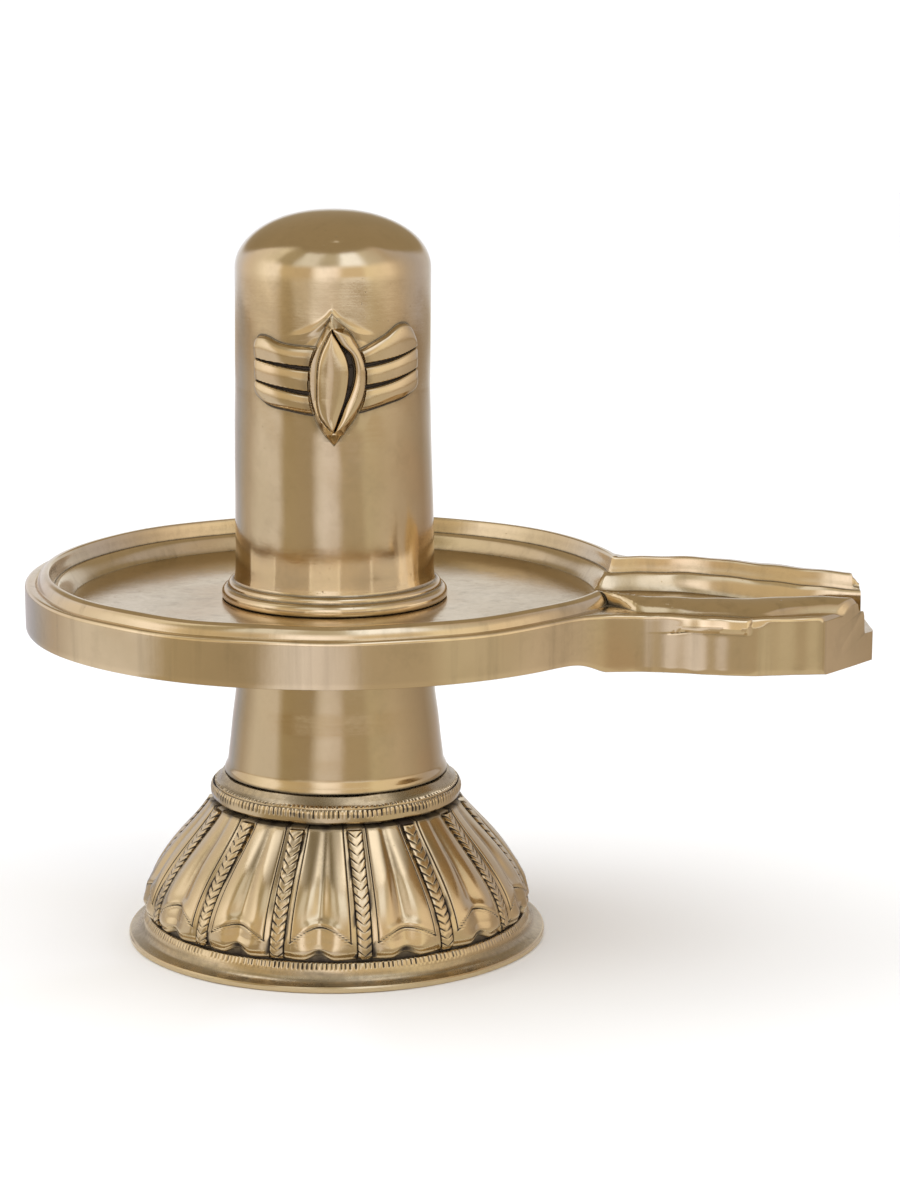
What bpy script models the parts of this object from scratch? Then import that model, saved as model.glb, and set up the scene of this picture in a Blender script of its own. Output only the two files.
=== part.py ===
# Brass Shiva lingam: a round shaft with a relief mark stands in a moulded basin with a drain
# spout, on a plain stem and a lotus pedestal. Metres, +Z up. The origin is the middle of the
# pedestal's underside, and the spout points along +X.

from math import asin, atan2, cos, pi, radians, sin, sqrt, tau

import bmesh
import bpy

MM = 0.001

# Clearance between two pieces that touch
JOINT_GAP = 0.3 * MM

# Pedestal, from the flange up to the seat of the stem
FLANGE_RADIUS = 95.3 * MM
FLANGE_THICKNESS = 2.8 * MM
FOOT_BAND_RADIUS = 88.6 * MM
FOOT_BAND_BOTTOM = 8.4 * MM
FOOT_BAND_HEIGHT = 2.8 * MM
PETAL_COUNT = 14
PETAL_BOTTOM = 13.2 * MM
PETAL_HEIGHT = 49.8 * MM
PETAL_FOOT_RADIUS = 88.2 * MM
PETAL_NECK_RADIUS = 57.2 * MM
PETAL_SWELL = 1.13            # 1 gives a plain quarter sine from neck to foot
PETAL_VALLEY = 2.6 * MM       # depth of the crease down the lower middle of a petal
PETAL_ARCH = 7.0 * MM         # how far the lip arches up in the middle
PETAL_UNDERCUT = 4.5 * MM     # how far the lip overhangs the foot
RIB_HALF_WIDTH = 3.0 * MM
RIB_GROOVE = 1.5 * MM         # width of the groove beside a rib
RIB_HEIGHT = 3.0 * MM         # rib top above that groove
RIB_TURN = radians(18.0)      # from -Y towards +X
CHEVRON_COUNT = 12
CHEVRON_DEPTH = 1.1 * MM
CHEVRON_DROP = 2.4 * MM       # how far a notch's point hangs below its ends
RING_RADIUS = 56.8 * MM
RING_HEIGHT = 10.0 * MM
RING_GROOVE = 1.6 * MM
PEDESTAL_HEIGHT = 76.3 * MM

# Stem, a plain cone with a small flare at its foot
STEM_FOOT_RADIUS = 50.8 * MM
STEM_RADIUS = 48.8 * MM
STEM_TOP_RADIUS = 41.4 * MM
STEM_FLARE_HEIGHT = 5.0 * MM

# Basin
TRAY_RADIUS = 138.7 * MM
TRAY_BOTTOM = 144.9 * MM      # height of the apron's lower edge above the ground
APRON_HEIGHT = 20.5 * MM
APRON_ROUNDING = 1.4 * MM
CREST_RADIUS = 128.6 * MM
CREST_RISE = 4.8 * MM         # crest above the ledge outside it
CREST_THICKNESS = 1.3 * MM
BAND_HEIGHT = 6.6 * MM        # upper band inside the rim
BAND_LEAN = 3.0 * MM
MOULDING_STEP = 1.6 * MM      # flat between the band and the rounded moulding
MOULDING_WIDTH = 5.8 * MM
BASIN_DEPTH = 13.6 * MM       # crest down to the floor
FLOOR_THICKNESS = 5.0 * MM
UNDER_RIM = 16.0 * MM         # flat rim round the shallow recess under the basin

# Spout
SPOUT_REACH = 241.5 * MM      # tip from the axis
SPOUT_NECK_HALF = 72.4 * MM   # half width where its wall leaves the apron
MOUTH_HALF = 39.0 * MM        # half width where its rails leave the rim's crest
SPOUT_FALL = 2.6 * MM         # how far crest and wall fall from the root to the tip
CHANNEL_FALL = 3.6 * MM       # how much more the channel's floor falls
SPOUT_DROP = 4.8 * MM         # how far its wall hangs below the apron
SPOUT_TIP_OFFSET = -14.0 * MM
SPOUT_NEAR_SETBACK = 19.5 * MM  # from the tip back to the end's near corner
SPOUT_FAR_SETBACK = 11.5 * MM   # and to its far corner
SPOUT_END_HALF = 48.0 * MM
RECESS_SETBACK = 36.0 * MM    # from the tip back to the end of the recess underneath
# Half widths along the spout: share of the way from root to tip, width in metres
WALL_LINE = ((0.0, SPOUT_NECK_HALF), (0.09, 66.5 * MM), (0.22, 62.5 * MM), (0.45, 61.5 * MM),
             (0.60, 59.5 * MM), (0.76, 52.5 * MM), (0.86, 48.5 * MM), (1.1, 40.0 * MM))
RAIL_LINE = ((0.03, MOUTH_HALF), (0.14, 43.5 * MM), (0.26, 46.0 * MM), (0.38, 45.0 * MM),
             (0.50, 41.5 * MM), (0.62, 36.5 * MM), (0.75, 30.5 * MM), (0.89, 26.5 * MM),
             (1.1, 24.5 * MM))
GROOVE_SHARE = ((0.0, 0.25), (0.2, 0.58), (0.5, 0.66), (1.1, 0.55))

# Lingam, from the basin's floor up
SHAFT_RADIUS = 43.4 * MM
SHAFT_FOOT_RADIUS = 44.9 * MM
SHAFT_HEIGHT = 148.0 * MM     # basin floor to the spring of the dome
SHAFT_TAPER = 0.65            # share of that height over which it thins
DOME_HEIGHT = 25.4 * MM
COLLAR_RADIUS = 50.8 * MM
COLLAR_HEIGHT = 5.2 * MM
COLLAR_STEP_RADIUS = 48.0 * MM
COLLAR_STEP_HEIGHT = 2.6 * MM

# Relief mark on the shaft: an upright eye over three bars
MARK_TURN = radians(10.7)     # from -Y towards +X
MARK_CENTRE = 103.8 * MM      # height of the eye's middle above the basin floor
EYE_HEIGHT = 53.0 * MM
EYE_HALF_WIDTH = 10.8 * MM
EYE_RELIEF = 4.6 * MM
BAR_RELIEF = 1.9 * MM
BAR_PITCH = 9.7 * MM
BAR_GAP = 1.2 * MM
BAR_INNER = 7.5 * MM          # arc from the mark's centre line to a bar's hidden inner end
BAR_OUTER = 39.0 * MM
BAR_RISE_LEFT = 3.8 * MM      # how much higher a bar's outer end is
BAR_RISE_RIGHT = 7.6 * MM
BAR_ROUNDING = 3.0 * MM
BAR_SEAT = 1.5 * MM           # how deep the relief is sunk into the shaft

# Fineness of the facets
TURNED_SIDES = 30
TRAY_SIDES = 46
SPOUT_STATIONS = 9
DOME_ROWS = 6
BAR_STATIONS = 4
EYE_ROWS = 8


def brass(name, colour, roughness):
    """A Principled material in one tone of the casting."""
    material = bpy.data.materials.new(name)
    material.use_nodes = True
    shader = material.node_tree.nodes["Principled BSDF"]
    shader.inputs["Base Color"].default_value = (*colour, 1.0)
    shader.inputs["Metallic"].default_value = 1.0
    shader.inputs["Roughness"].default_value = roughness
    material.diffuse_color = (*colour, 1.0)
    return material


def add_object(name, bm, material=None):
    """Make one object of a finished bmesh, with its faces turned outwards."""
    bmesh.ops.recalc_face_normals(bm, faces=bm.faces)
    mesh = bpy.data.meshes.new(name)
    bm.to_mesh(mesh)
    bm.free()
    thing = bpy.data.objects.new(name, mesh)
    bpy.context.collection.objects.link(thing)
    if material:
        mesh.materials.append(material)
        mesh.shade_smooth()
        mesh.set_sharp_from_angle(angle=radians(35.0))
    return thing


def add_cutter(name, bm):
    """A guide solid for a Boolean, which isn't part of the model."""
    cutter = add_object(name, bm)
    cutter.hide_render = True
    cutter.hide_set(True)
    cutter.display_type = "WIRE"
    return cutter


def boolean(target, tool, operation):
    step = target.modifiers.new(tool.name, "BOOLEAN")
    step.object = tool
    step.operation = operation
    step.solver = "EXACT"


def ease(share):
    """Smooth step from 0 to 1."""
    share = min(max(share, 0.0), 1.0)
    return share * share * (3.0 - 2.0 * share)


def along(line, share):
    """Read a line of (share, value) points as a smooth curve."""
    last = len(line) - 1
    k = max(i for i in range(last) if i == 0 or line[i][0] <= share)
    slopes = []
    for i in (k, k + 1):
        a = line[max(i - 1, 0)]
        b = line[min(i + 1, last)]
        slopes.append((b[1] - a[1]) / (b[0] - a[0]))
    (s0, v0), (s1, v1) = line[k], line[k + 1]
    span = s1 - s0
    t = min(max((share - s0) / span, 0.0), 1.0)
    return (v0 * (2 * t ** 3 - 3 * t ** 2 + 1) + v1 * (3 * t ** 2 - 2 * t ** 3)
            + slopes[0] * span * (t ** 3 - 2 * t ** 2 + t) + slopes[1] * span * (t ** 3 - t ** 2))


def polar(radius, azimuth, z):
    """A point by its azimuth from -Y towards +X."""
    return (radius * sin(azimuth), -radius * cos(azimuth), z)


def loft(bm, rings):
    """Join closed rings of points, one face wide, and return their vertices."""
    loops = [[bm.verts.new(point) for point in ring] for ring in rings]
    for lower, upper in zip(loops, loops[1:]):
        for i, vertex in enumerate(lower):
            j = (i + 1) % len(lower)
            bm.faces.new((vertex, lower[j], upper[j], upper[i]))
    return loops


def turned(name, profile, material):
    """A solid of revolution. The profile runs up its outside; a last point at radius 0 is a tip."""
    bm = bmesh.new()
    has_tip = profile[-1][0] == 0.0
    rounds = profile[:-1] if has_tip else profile
    rings = [[polar(r, tau * i / TURNED_SIDES, z) for i in range(TURNED_SIDES)] for r, z in rounds]
    loops = loft(bm, rings)
    bm.faces.new(loops[0])
    if has_tip:
        tip = bm.verts.new((0.0, 0.0, profile[-1][1]))
        for i, vertex in enumerate(loops[-1]):
            bm.faces.new((vertex, loops[-1][(i + 1) % TURNED_SIDES], tip))
    else:
        bm.faces.new(loops[-1])
    return add_object(name, bm, material)


def petal_line(share):
    """Radius and height on the pedestal's outline, from the neck at 0 to the lip at 1."""
    swell = sin(0.5 * pi * share ** PETAL_SWELL)
    radius = PETAL_NECK_RADIUS + (PETAL_FOOT_RADIUS - PETAL_NECK_RADIUS) * swell
    return radius, PETAL_BOTTOM + PETAL_HEIGHT * (1.0 - share)


def ring_rows():
    """The ring above the petals, from the stem's seat down: radius and height."""
    ring_top = PEDESTAL_HEIGHT - 0.4 * RING_HEIGHT
    return [
        (STEM_FOOT_RADIUS + JOINT_GAP, PEDESTAL_HEIGHT),
        (RING_RADIUS - RING_GROOVE, ring_top),
        (RING_RADIUS, ring_top - 0.35 * RING_HEIGHT),
        (RING_RADIUS - RING_GROOVE, ring_top - 0.8 * RING_HEIGHT),
    ]


def foot_rows():
    """The ticked band and the flange under the petals: radius and height."""
    return [
        (FOOT_BAND_RADIUS - 0.6 * FOOT_BAND_HEIGHT, FOOT_BAND_BOTTOM + FOOT_BAND_HEIGHT),
        (FOOT_BAND_RADIUS, FOOT_BAND_BOTTOM),
        (FLANGE_RADIUS, FLANGE_THICKNESS),
        (FLANGE_RADIUS, 0.0),
    ]


def pedestal_column(sector, place):
    """Points down the pedestal on one line: place is a rib line's name or a share of a petal."""
    step = tau / PETAL_COUNT
    rib_azimuth = RIB_TURN + sector * step
    rib_sides = {"groove left": -1.0, "edge left": -1.0, "middle": 0.0,
                 "edge right": 1.0, "groove right": 1.0}
    on_rib = place in rib_sides
    rows = 2 * CHEVRON_COUNT if on_rib else CHEVRON_COUNT
    body = []
    for row in range(rows + 1):
        share = row / rows
        radius, z = petal_line(share)
        groove_angle = (RIB_HALF_WIDTH + RIB_GROOVE) / radius
        low = ease(share * 1.3)
        groove = radius - RIB_HEIGHT * (0.6 + 0.5 * low)
        if on_rib:
            side = rib_sides[place]
            if place.startswith("groove"):
                azimuth = rib_azimuth + side * groove_angle
                radius = groove
            else:
                azimuth = rib_azimuth + side * RIB_HALF_WIDTH / radius
                notch = CHEVRON_DEPTH if row % 2 else 0.0
                radius = groove + RIB_HEIGHT * (0.85 if side else 1.0) - notch
                inner_row = 0 < row < rows
                z -= CHEVRON_DROP * 0.5 if inner_row and not side else 0.0
        else:
            azimuth = rib_azimuth + groove_angle + place * (step - 2.0 * groove_angle)
            middle = 1.0 - abs(2.0 * place - 1.0) * 2.0
            if middle > 0.0:
                lift = PETAL_ARCH * share ** 4
                z += lift
                radius -= PETAL_VALLEY * low
            else:
                radius -= 0.3 * PETAL_VALLEY * (1.0 - low)
        body.append(polar(radius, azimuth, z))
    last = body[-1]
    last_azimuth = atan2(last[0], -last[1])
    lip = sqrt(last[0] ** 2 + last[1] ** 2)
    tuck = min(lip, FOOT_BAND_RADIUS - PETAL_UNDERCUT)
    under = polar(tuck - 0.3 * MM, last_azimuth, last[2] - 0.5 * MM)
    first_azimuth = atan2(body[0][0], -body[0][1])
    top = [polar(r, first_azimuth, z) for r, z in ring_rows()]
    foot = [under] + [polar(r, last_azimuth, z) for r, z in foot_rows()]
    return top, body, foot


def zip_columns(bm, left, right):
    """Fill between two columns of vertices, one of which may have twice the rows."""
    if len(left) == len(right):
        for i in range(len(left) - 1):
            bm.faces.new((left[i], left[i + 1], right[i + 1], right[i]))
        return
    fine, coarse = (left, right) if len(left) > len(right) else (right, left)
    for i in range(len(coarse) - 1):
        a, b, c = fine[2 * i:2 * i + 3]
        bm.faces.new((a, b, coarse[i]))
        bm.faces.new((b, coarse[i + 1], coarse[i]))
        bm.faces.new((b, c, coarse[i + 1]))


def make_pedestal(material):
    """Lotus foot: petals between ribs cut with chevrons, a ring above and a flange below."""
    bm = bmesh.new()
    places = ("groove left", "edge left", "middle", "edge right", "groove right", 0.25, 0.5, 0.75)
    columns = []
    for sector in range(PETAL_COUNT):
        for place in places:
            parts = pedestal_column(sector, place)
            columns.append([[bm.verts.new(point) for point in part] for part in parts])
    for i, (top, body, foot) in enumerate(columns):
        next_top, next_body, next_foot = columns[(i + 1) % len(columns)]
        zip_columns(bm, top + body[:1], next_top + next_body[:1])
        zip_columns(bm, body, next_body)
        zip_columns(bm, body[-1:] + foot, next_body[-1:] + next_foot)
    bm.faces.new([top[0] for top, _, _ in columns])
    bm.faces.new([foot[-1] for _, _, foot in columns])
    return add_object("pedestal", bm, material)


def make_stem(material):
    foot = PEDESTAL_HEIGHT + JOINT_GAP
    top = TRAY_BOTTOM + APRON_HEIGHT + CREST_RISE - BASIN_DEPTH - FLOOR_THICKNESS - JOINT_GAP
    profile = [
        (STEM_FOOT_RADIUS, foot),
        (STEM_FOOT_RADIUS - 0.65 * (STEM_FOOT_RADIUS - STEM_RADIUS), foot + 0.4 * STEM_FLARE_HEIGHT),
        (STEM_RADIUS, foot + STEM_FLARE_HEIGHT),
        (STEM_TOP_RADIUS, top),
    ]
    return turned("stem", profile, material)


def spout_root():
    """X where the spout's wall leaves the apron."""
    return sqrt(TRAY_RADIUS ** 2 - SPOUT_NECK_HALF ** 2)


def spout_share(x):
    return (x - spout_root()) / (SPOUT_REACH - spout_root())


def wall_half(x):
    return along(WALL_LINE, spout_share(x))


def rail_half(x):
    return along(RAIL_LINE, spout_share(x))


def groove_half(x):
    share = along(GROOVE_SHARE, spout_share(x))
    return rail_half(x) + share * (wall_half(x) - rail_half(x))


def tray_ring(radius, half_at_start, half, z, end, extra_fall=0.0, drop=0.0):
    """One closed line of the basin's mouldings, round the bowl and out along both spout sides."""
    start_angle = asin(half_at_start / radius)
    sweep = tau - 2.0 * start_angle
    start = radius * cos(start_angle)
    points = []
    for i in range(TRAY_SIDES + 1):
        angle = start_angle + sweep * i / TRAY_SIDES
        points.append((radius * cos(angle), radius * sin(angle), z))
    near = []
    for i in range(1, SPOUT_STATIONS + 1):
        x = start + (end - start) * i / SPOUT_STATIONS
        share = max(spout_share(x), 0.0)
        height = z - (SPOUT_FALL + extra_fall) * share - drop * ease(share / 0.08)
        near.append((x, half(x), height))
    return points + [(x, -y, height) for x, y, height in near] + near[::-1]


def tray_rings():
    """All the basin's lines: from the recess underneath, over the rim, to the floor's edge."""
    ledge = TRAY_BOTTOM + APRON_HEIGHT
    crest = ledge + CREST_RISE
    floor = crest - BASIN_DEPTH
    past_tip = SPOUT_REACH + UNDER_RIM
    recess_end = SPOUT_REACH - RECESS_SETBACK
    neck = SPOUT_NECK_HALF
    fillet = APRON_ROUNDING
    edge = 0.5 * CREST_THICKNESS
    band = BAND_LEAN
    step = band + MOULDING_STEP
    shoulder = step + 0.35 * MOULDING_WIDTH
    toe = step + MOULDING_WIDTH
    groove_radius = 0.5 * (CREST_RADIUS + TRAY_RADIUS)

    def wall(inset):
        return lambda x: wall_half(x) - inset

    def rail(inset):
        return lambda x: rail_half(x) - inset

    return [
        tray_ring(TRAY_RADIUS - UNDER_RIM, neck - UNDER_RIM, wall(UNDER_RIM),
                  floor - FLOOR_THICKNESS, recess_end, drop=SPOUT_DROP),
        tray_ring(TRAY_RADIUS - UNDER_RIM, neck - UNDER_RIM, wall(UNDER_RIM), TRAY_BOTTOM,
                  recess_end, drop=SPOUT_DROP),
        tray_ring(TRAY_RADIUS, neck, wall(0.0), TRAY_BOTTOM, past_tip, drop=SPOUT_DROP),
        tray_ring(TRAY_RADIUS - 0.4 * fillet, neck, wall(0.4 * fillet), ledge - 0.7 * fillet,
                  past_tip),
        tray_ring(TRAY_RADIUS - fillet, neck, wall(fillet), ledge, past_tip),
        tray_ring(groove_radius, MOUTH_HALF + fillet, groove_half, ledge, past_tip),
        tray_ring(CREST_RADIUS + edge, MOUTH_HALF, rail(-edge), crest, past_tip),
        tray_ring(CREST_RADIUS - edge, MOUTH_HALF - edge, rail(edge), crest, past_tip),
        tray_ring(CREST_RADIUS - band, MOUTH_HALF - band, rail(band), crest - BAND_HEIGHT, past_tip),
        tray_ring(CREST_RADIUS - step, MOUTH_HALF - step, rail(step), crest - BAND_HEIGHT, past_tip),
        tray_ring(CREST_RADIUS - shoulder, MOUTH_HALF - shoulder, rail(shoulder),
                  crest - BAND_HEIGHT - 0.3 * (BASIN_DEPTH - BAND_HEIGHT), past_tip),
        tray_ring(CREST_RADIUS - toe, MOUTH_HALF - toe, rail(toe), floor, past_tip,
                  extra_fall=CHANNEL_FALL),
    ]


def close_level(bm, loop):
    """Close a floor: one flat face for the bowl and a strip of faces along the spout."""
    bowl = loop[:TRAY_SIDES + 1]
    near = [bowl[-1]] + loop[TRAY_SIDES + 1:TRAY_SIDES + 1 + SPOUT_STATIONS]
    far = [bowl[0]] + loop[:TRAY_SIDES + SPOUT_STATIONS:-1]
    bm.faces.new(bowl)
    for i in range(SPOUT_STATIONS):
        bm.faces.new((near[i], near[i + 1], far[i + 1], far[i]))


def spout_end_cutter():
    """Everything beyond the two end faces, which meet at the spout's blunt tip."""
    low = 0.5 * TRAY_BOTTOM
    high = TRAY_BOTTOM + APRON_HEIGHT + 2.0 * CREST_RISE
    tip = (SPOUT_REACH, SPOUT_TIP_OFFSET)
    side = 2.0 * SPOUT_END_HALF

    def beyond(corner_x, corner_y, y):
        share = (y - tip[1]) / (corner_y - tip[1])
        return tip[0] + (corner_x - tip[0]) * share, y

    outline = [
        beyond(SPOUT_REACH - SPOUT_NEAR_SETBACK, -SPOUT_END_HALF, -side),
        tip,
        beyond(SPOUT_REACH - SPOUT_FAR_SETBACK, SPOUT_END_HALF, side),
        (SPOUT_REACH + side, side),
        (SPOUT_REACH + side, -side),
    ]
    bm = bmesh.new()
    loops = loft(bm, [[(x, y, z) for x, y in outline] for z in (low, high)])
    bm.faces.new(loops[0])
    bm.faces.new(loops[1])
    return add_cutter("spout_end_cutter", bm)


def make_tray(material):
    """Basin with a moulded rim and a railed spout, and a shallow recess underneath."""
    bm = bmesh.new()
    loops = loft(bm, tray_rings())
    close_level(bm, loops[0])
    close_level(bm, loops[-1])
    tray = add_object("yoni_tray", bm, material)
    boolean(tray, spout_end_cutter(), "DIFFERENCE")
    return tray


def shaft_radius(height):
    """Radius of the plain shaft at a height above the basin's floor."""
    share = min(height / (SHAFT_TAPER * SHAFT_HEIGHT), 1.0)
    return SHAFT_FOOT_RADIUS + (SHAFT_RADIUS - SHAFT_FOOT_RADIUS) * share


def lingam_profile():
    base = basin_floor() + JOINT_GAP
    collar_top = base + COLLAR_HEIGHT
    step_top = collar_top + COLLAR_STEP_HEIGHT
    profile = [
        (COLLAR_RADIUS - 0.4 * MM, base),
        (COLLAR_RADIUS, base + 0.4 * COLLAR_HEIGHT),
        (COLLAR_RADIUS - 0.7 * MM, base + 0.8 * COLLAR_HEIGHT),
        (COLLAR_STEP_RADIUS + 0.4 * MM, collar_top),
        (COLLAR_STEP_RADIUS - 0.3 * MM, collar_top + 0.6 * COLLAR_STEP_HEIGHT),
        (SHAFT_FOOT_RADIUS + 0.6 * MM, step_top),
    ]
    for share in (0.2 * SHAFT_TAPER, 0.55 * SHAFT_TAPER, SHAFT_TAPER, 1.0):
        height = share * SHAFT_HEIGHT
        profile.append((shaft_radius(height), basin_floor() + height))
    for row in range(1, DOME_ROWS):
        angle = 0.5 * pi * row / DOME_ROWS
        dome_z = basin_floor() + SHAFT_HEIGHT + DOME_HEIGHT * sin(angle)
        profile.append((SHAFT_RADIUS * cos(angle), dome_z))
    profile.append((0.0, basin_floor() + SHAFT_HEIGHT + DOME_HEIGHT))
    return profile


def basin_floor():
    return TRAY_BOTTOM + APRON_HEIGHT + CREST_RISE - BASIN_DEPTH


def on_shaft(arc, height, lift):
    """A point on the shaft: arc from the mark's centre line, height above the basin's floor."""
    radius = shaft_radius(height)
    return polar(radius + lift, MARK_TURN + arc / radius, basin_floor() + height)


def make_bar(side, level, rise):
    """One bar of the mark as a bent slab with a rounded outer end."""
    bm = bmesh.new()
    centre = MARK_CENTRE + (1 - level) * BAR_PITCH
    half = 0.5 * (BAR_PITCH - BAR_GAP)
    rings = []
    for i in range(BAR_STATIONS + 1):
        share = i / BAR_STATIONS
        arc = BAR_INNER + (BAR_OUTER - BAR_INNER) * share
        width = half - (BAR_ROUNDING if i == BAR_STATIONS else 0.0)
        middle = centre + rise * (share - 0.35)
        rings.append([
            on_shaft(side * arc, middle - width, -BAR_SEAT),
            on_shaft(side * arc, middle - width, BAR_RELIEF),
            on_shaft(side * arc, middle + width, BAR_RELIEF),
            on_shaft(side * arc, middle + width, -BAR_SEAT),
        ])
        if i == BAR_STATIONS - 1:
            arc = BAR_OUTER - 0.6 * BAR_ROUNDING
            end = centre + rise * 0.6
            rings.append([
                on_shaft(side * arc, end - half, -BAR_SEAT),
                on_shaft(side * arc, end - half, BAR_RELIEF),
                on_shaft(side * arc, end + half, BAR_RELIEF),
                on_shaft(side * arc, end + half, -BAR_SEAT),
            ])
    loops = loft(bm, rings)
    bm.faces.new(loops[0])
    bm.faces.new(loops[-1])
    side_name = "right" if side > 0 else "left"
    return add_cutter(f"mark_bar_{side_name}_{level}", bm)


def make_eye():
    """The almond in the middle of the mark, crowned along its height."""
    bm = bmesh.new()
    rings = []
    for i in range(EYE_ROWS + 1):
        share = -1.0 + 2.0 * i / EYE_ROWS
        half = max(EYE_HALF_WIDTH * cos(0.5 * pi * share) ** 0.85, 0.05 * EYE_HALF_WIDTH)
        height = MARK_CENTRE + 0.5 * EYE_HEIGHT * share
        crown = BAR_RELIEF + (EYE_RELIEF - BAR_RELIEF) * cos(0.5 * pi * share)
        rings.append([
            on_shaft(-half, height, -BAR_SEAT),
            on_shaft(-half, height, 0.55 * crown),
            on_shaft(-0.35 * half, height, crown),
            on_shaft(0.35 * half, height, crown),
            on_shaft(half, height, 0.55 * crown),
            on_shaft(half, height, -BAR_SEAT),
        ])
    loops = loft(bm, rings)
    bm.faces.new(loops[0])
    bm.faces.new(loops[-1])
    return add_cutter("mark_eye", bm)


def make_lingam(material):
    """Domed shaft with its collar and relief mark, one casting."""
    lingam = turned("lingam", lingam_profile(), material)
    for level in range(3):
        boolean(lingam, make_bar(-1, level, BAR_RISE_LEFT), "UNION")
        boolean(lingam, make_bar(1, level, BAR_RISE_RIGHT), "UNION")
    boolean(lingam, make_eye(), "UNION")
    return lingam


def main():
    for thing in list(bpy.data.objects):
        bpy.data.objects.remove(thing, do_unlink=True)
    satin = brass("satin_brass", (0.66, 0.52, 0.32), 0.36)
    worn = brass("worn_brass", (0.60, 0.46, 0.27), 0.32)
    make_pedestal(worn)
    make_stem(satin)
    make_tray(satin)
    make_lingam(satin)


main()
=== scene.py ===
from math import cos, pi, radians, sin, tan, tau

import bmesh
import bpy
import numpy as np
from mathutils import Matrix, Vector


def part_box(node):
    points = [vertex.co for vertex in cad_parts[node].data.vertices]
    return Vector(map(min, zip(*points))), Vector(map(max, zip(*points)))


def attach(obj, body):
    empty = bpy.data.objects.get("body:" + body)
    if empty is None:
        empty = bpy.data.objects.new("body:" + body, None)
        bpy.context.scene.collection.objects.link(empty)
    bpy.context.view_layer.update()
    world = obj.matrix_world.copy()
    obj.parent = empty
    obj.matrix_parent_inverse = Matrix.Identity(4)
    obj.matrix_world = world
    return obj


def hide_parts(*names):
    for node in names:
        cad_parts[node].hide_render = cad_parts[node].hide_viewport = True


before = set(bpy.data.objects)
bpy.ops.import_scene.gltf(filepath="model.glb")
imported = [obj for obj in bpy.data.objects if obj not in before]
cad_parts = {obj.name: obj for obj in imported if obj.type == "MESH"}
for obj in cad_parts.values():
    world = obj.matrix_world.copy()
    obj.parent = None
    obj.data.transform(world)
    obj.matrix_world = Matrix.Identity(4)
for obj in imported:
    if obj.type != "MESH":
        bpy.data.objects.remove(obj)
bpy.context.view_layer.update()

bl_info = {
    "name": "Brass Lingam",
    "version": (1, 0, 0),
    "blender": (4, 5, 0),
    "location": "3D View > Sidebar > Lingam",
    "description": "Models a cast brass lingam in its basin on a lotus pedestal, with its studio",
    "category": "Object",
}

MM = 0.001
SHAFT_LOW, SHAFT_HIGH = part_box("lingam")
STEM_LOW, STEM_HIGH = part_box("stem")


# Sizes and finishes that a user may change

def length(name, description, default):
    return bpy.props.FloatProperty(name=name, description=description, default=default * MM,
                                   min=0.0, unit="LENGTH", precision=4)


def tone(name, description, default):
    return bpy.props.FloatVectorProperty(name=name, description=description, default=default,
                                         size=3, subtype="COLOR", min=0.0, max=1.0)


def share(name, description, default):
    return bpy.props.FloatProperty(name=name, description=description, default=default,
                                   min=0.0, max=1.0, subtype="FACTOR")


def bearing(name, description, degrees):
    return bpy.props.FloatProperty(name=name, description=description,
                                   default=radians(degrees), subtype="ANGLE")


def tally(name, description, default, low, high):
    return bpy.props.IntProperty(name=name, description=description, default=default,
                                 min=low, max=high)


class PedestalSizes(bpy.types.PropertyGroup):
    petals: tally("Petals", "Lotus petals round the foot", 14, 6, 24)
    chevrons: tally("Chevrons", "Chisel cuts down one rib", 18, 6, 30)
    neck_radius: length("Neck radius", "Petals' outline under the ring", 57.2)
    foot_radius: length("Foot radius", "Petals' outline at the lip", 88.2)
    petal_bottom: length("Lip height", "Lowest point of the petals", 13.2)
    petal_height: length("Petal height", "From the lip up to the ring", 49.8)
    rib_half: length("Rib half width", "Half the width of a chased rib", 3.0)
    groove: length("Rib groove", "Width of the groove beside a rib", 0.6)
    ring_ticks: tally("Ring ticks", "Punched ticks on the ring", 164, 20, 300)
    foot_ticks: tally("Foot ticks", "Punched ticks on the foot", 262, 20, 400)
    rib_turn: bearing("Rib turn", "First rib, from the front towards the spout", 18.0)


class BasinSizes(bpy.types.PropertyGroup):
    radius: length("Radius", "Outside of the apron", 138.7)
    bottom: length("Underside", "Height of the apron's lower edge", 144.9)
    apron: length("Apron height", "Height of the plain outer wall", 20.5)
    crest_radius: length("Crest radius", "Middle of the rim's crest", 128.6)
    crest_rise: length("Crest rise", "Crest above the ledge outside it", 4.8)
    depth: length("Depth", "Crest down to the floor", 13.6)
    reach: length("Spout reach", "Spout's tip from the axis", 241.5)
    neck_half: length("Spout neck", "Half width where the spout leaves the apron", 72.4)
    mouth_half: length("Mouth", "Half width where the rails leave the crest", 39.0)


class LingamSizes(bpy.types.PropertyGroup):
    radius: length("Shaft radius", "Plain part of the shaft", 43.4)
    foot_radius: length("Foot radius", "Shaft just above its collar", 44.9)
    shaft: length("Shaft height", "Basin floor to the spring of the dome", 148.0)
    dome: length("Dome height", "Rise of the dome", 25.4)
    mark_height: length("Mark height", "Middle of the mark above the basin floor", 103.8)
    mark_turn: bearing("Mark turn", "Middle of the mark, from the front towards the spout", 10.7)


class BrassFinish(bpy.types.PropertyGroup):
    brass: tone("Brass", "Wiped satin brass", (0.66, 0.53, 0.34))
    warm: tone("Warm brass", "Redder tone in the casting's patches", (0.69, 0.48, 0.27))
    olive: tone("Aged brass", "Duller, greener tone", (0.55, 0.44, 0.265))
    lower: tone("Lower brass", "Stem and pedestal, a little darker", (0.60, 0.47, 0.28))
    patina: tone("Patina", "Black brown left in the recesses", (0.035, 0.022, 0.012))
    roughness: share("Roughness", "Roughness of the wiped faces", 0.18)
    brushing: share("Brushing", "Strength of the fine brushing", 0.35)


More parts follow.
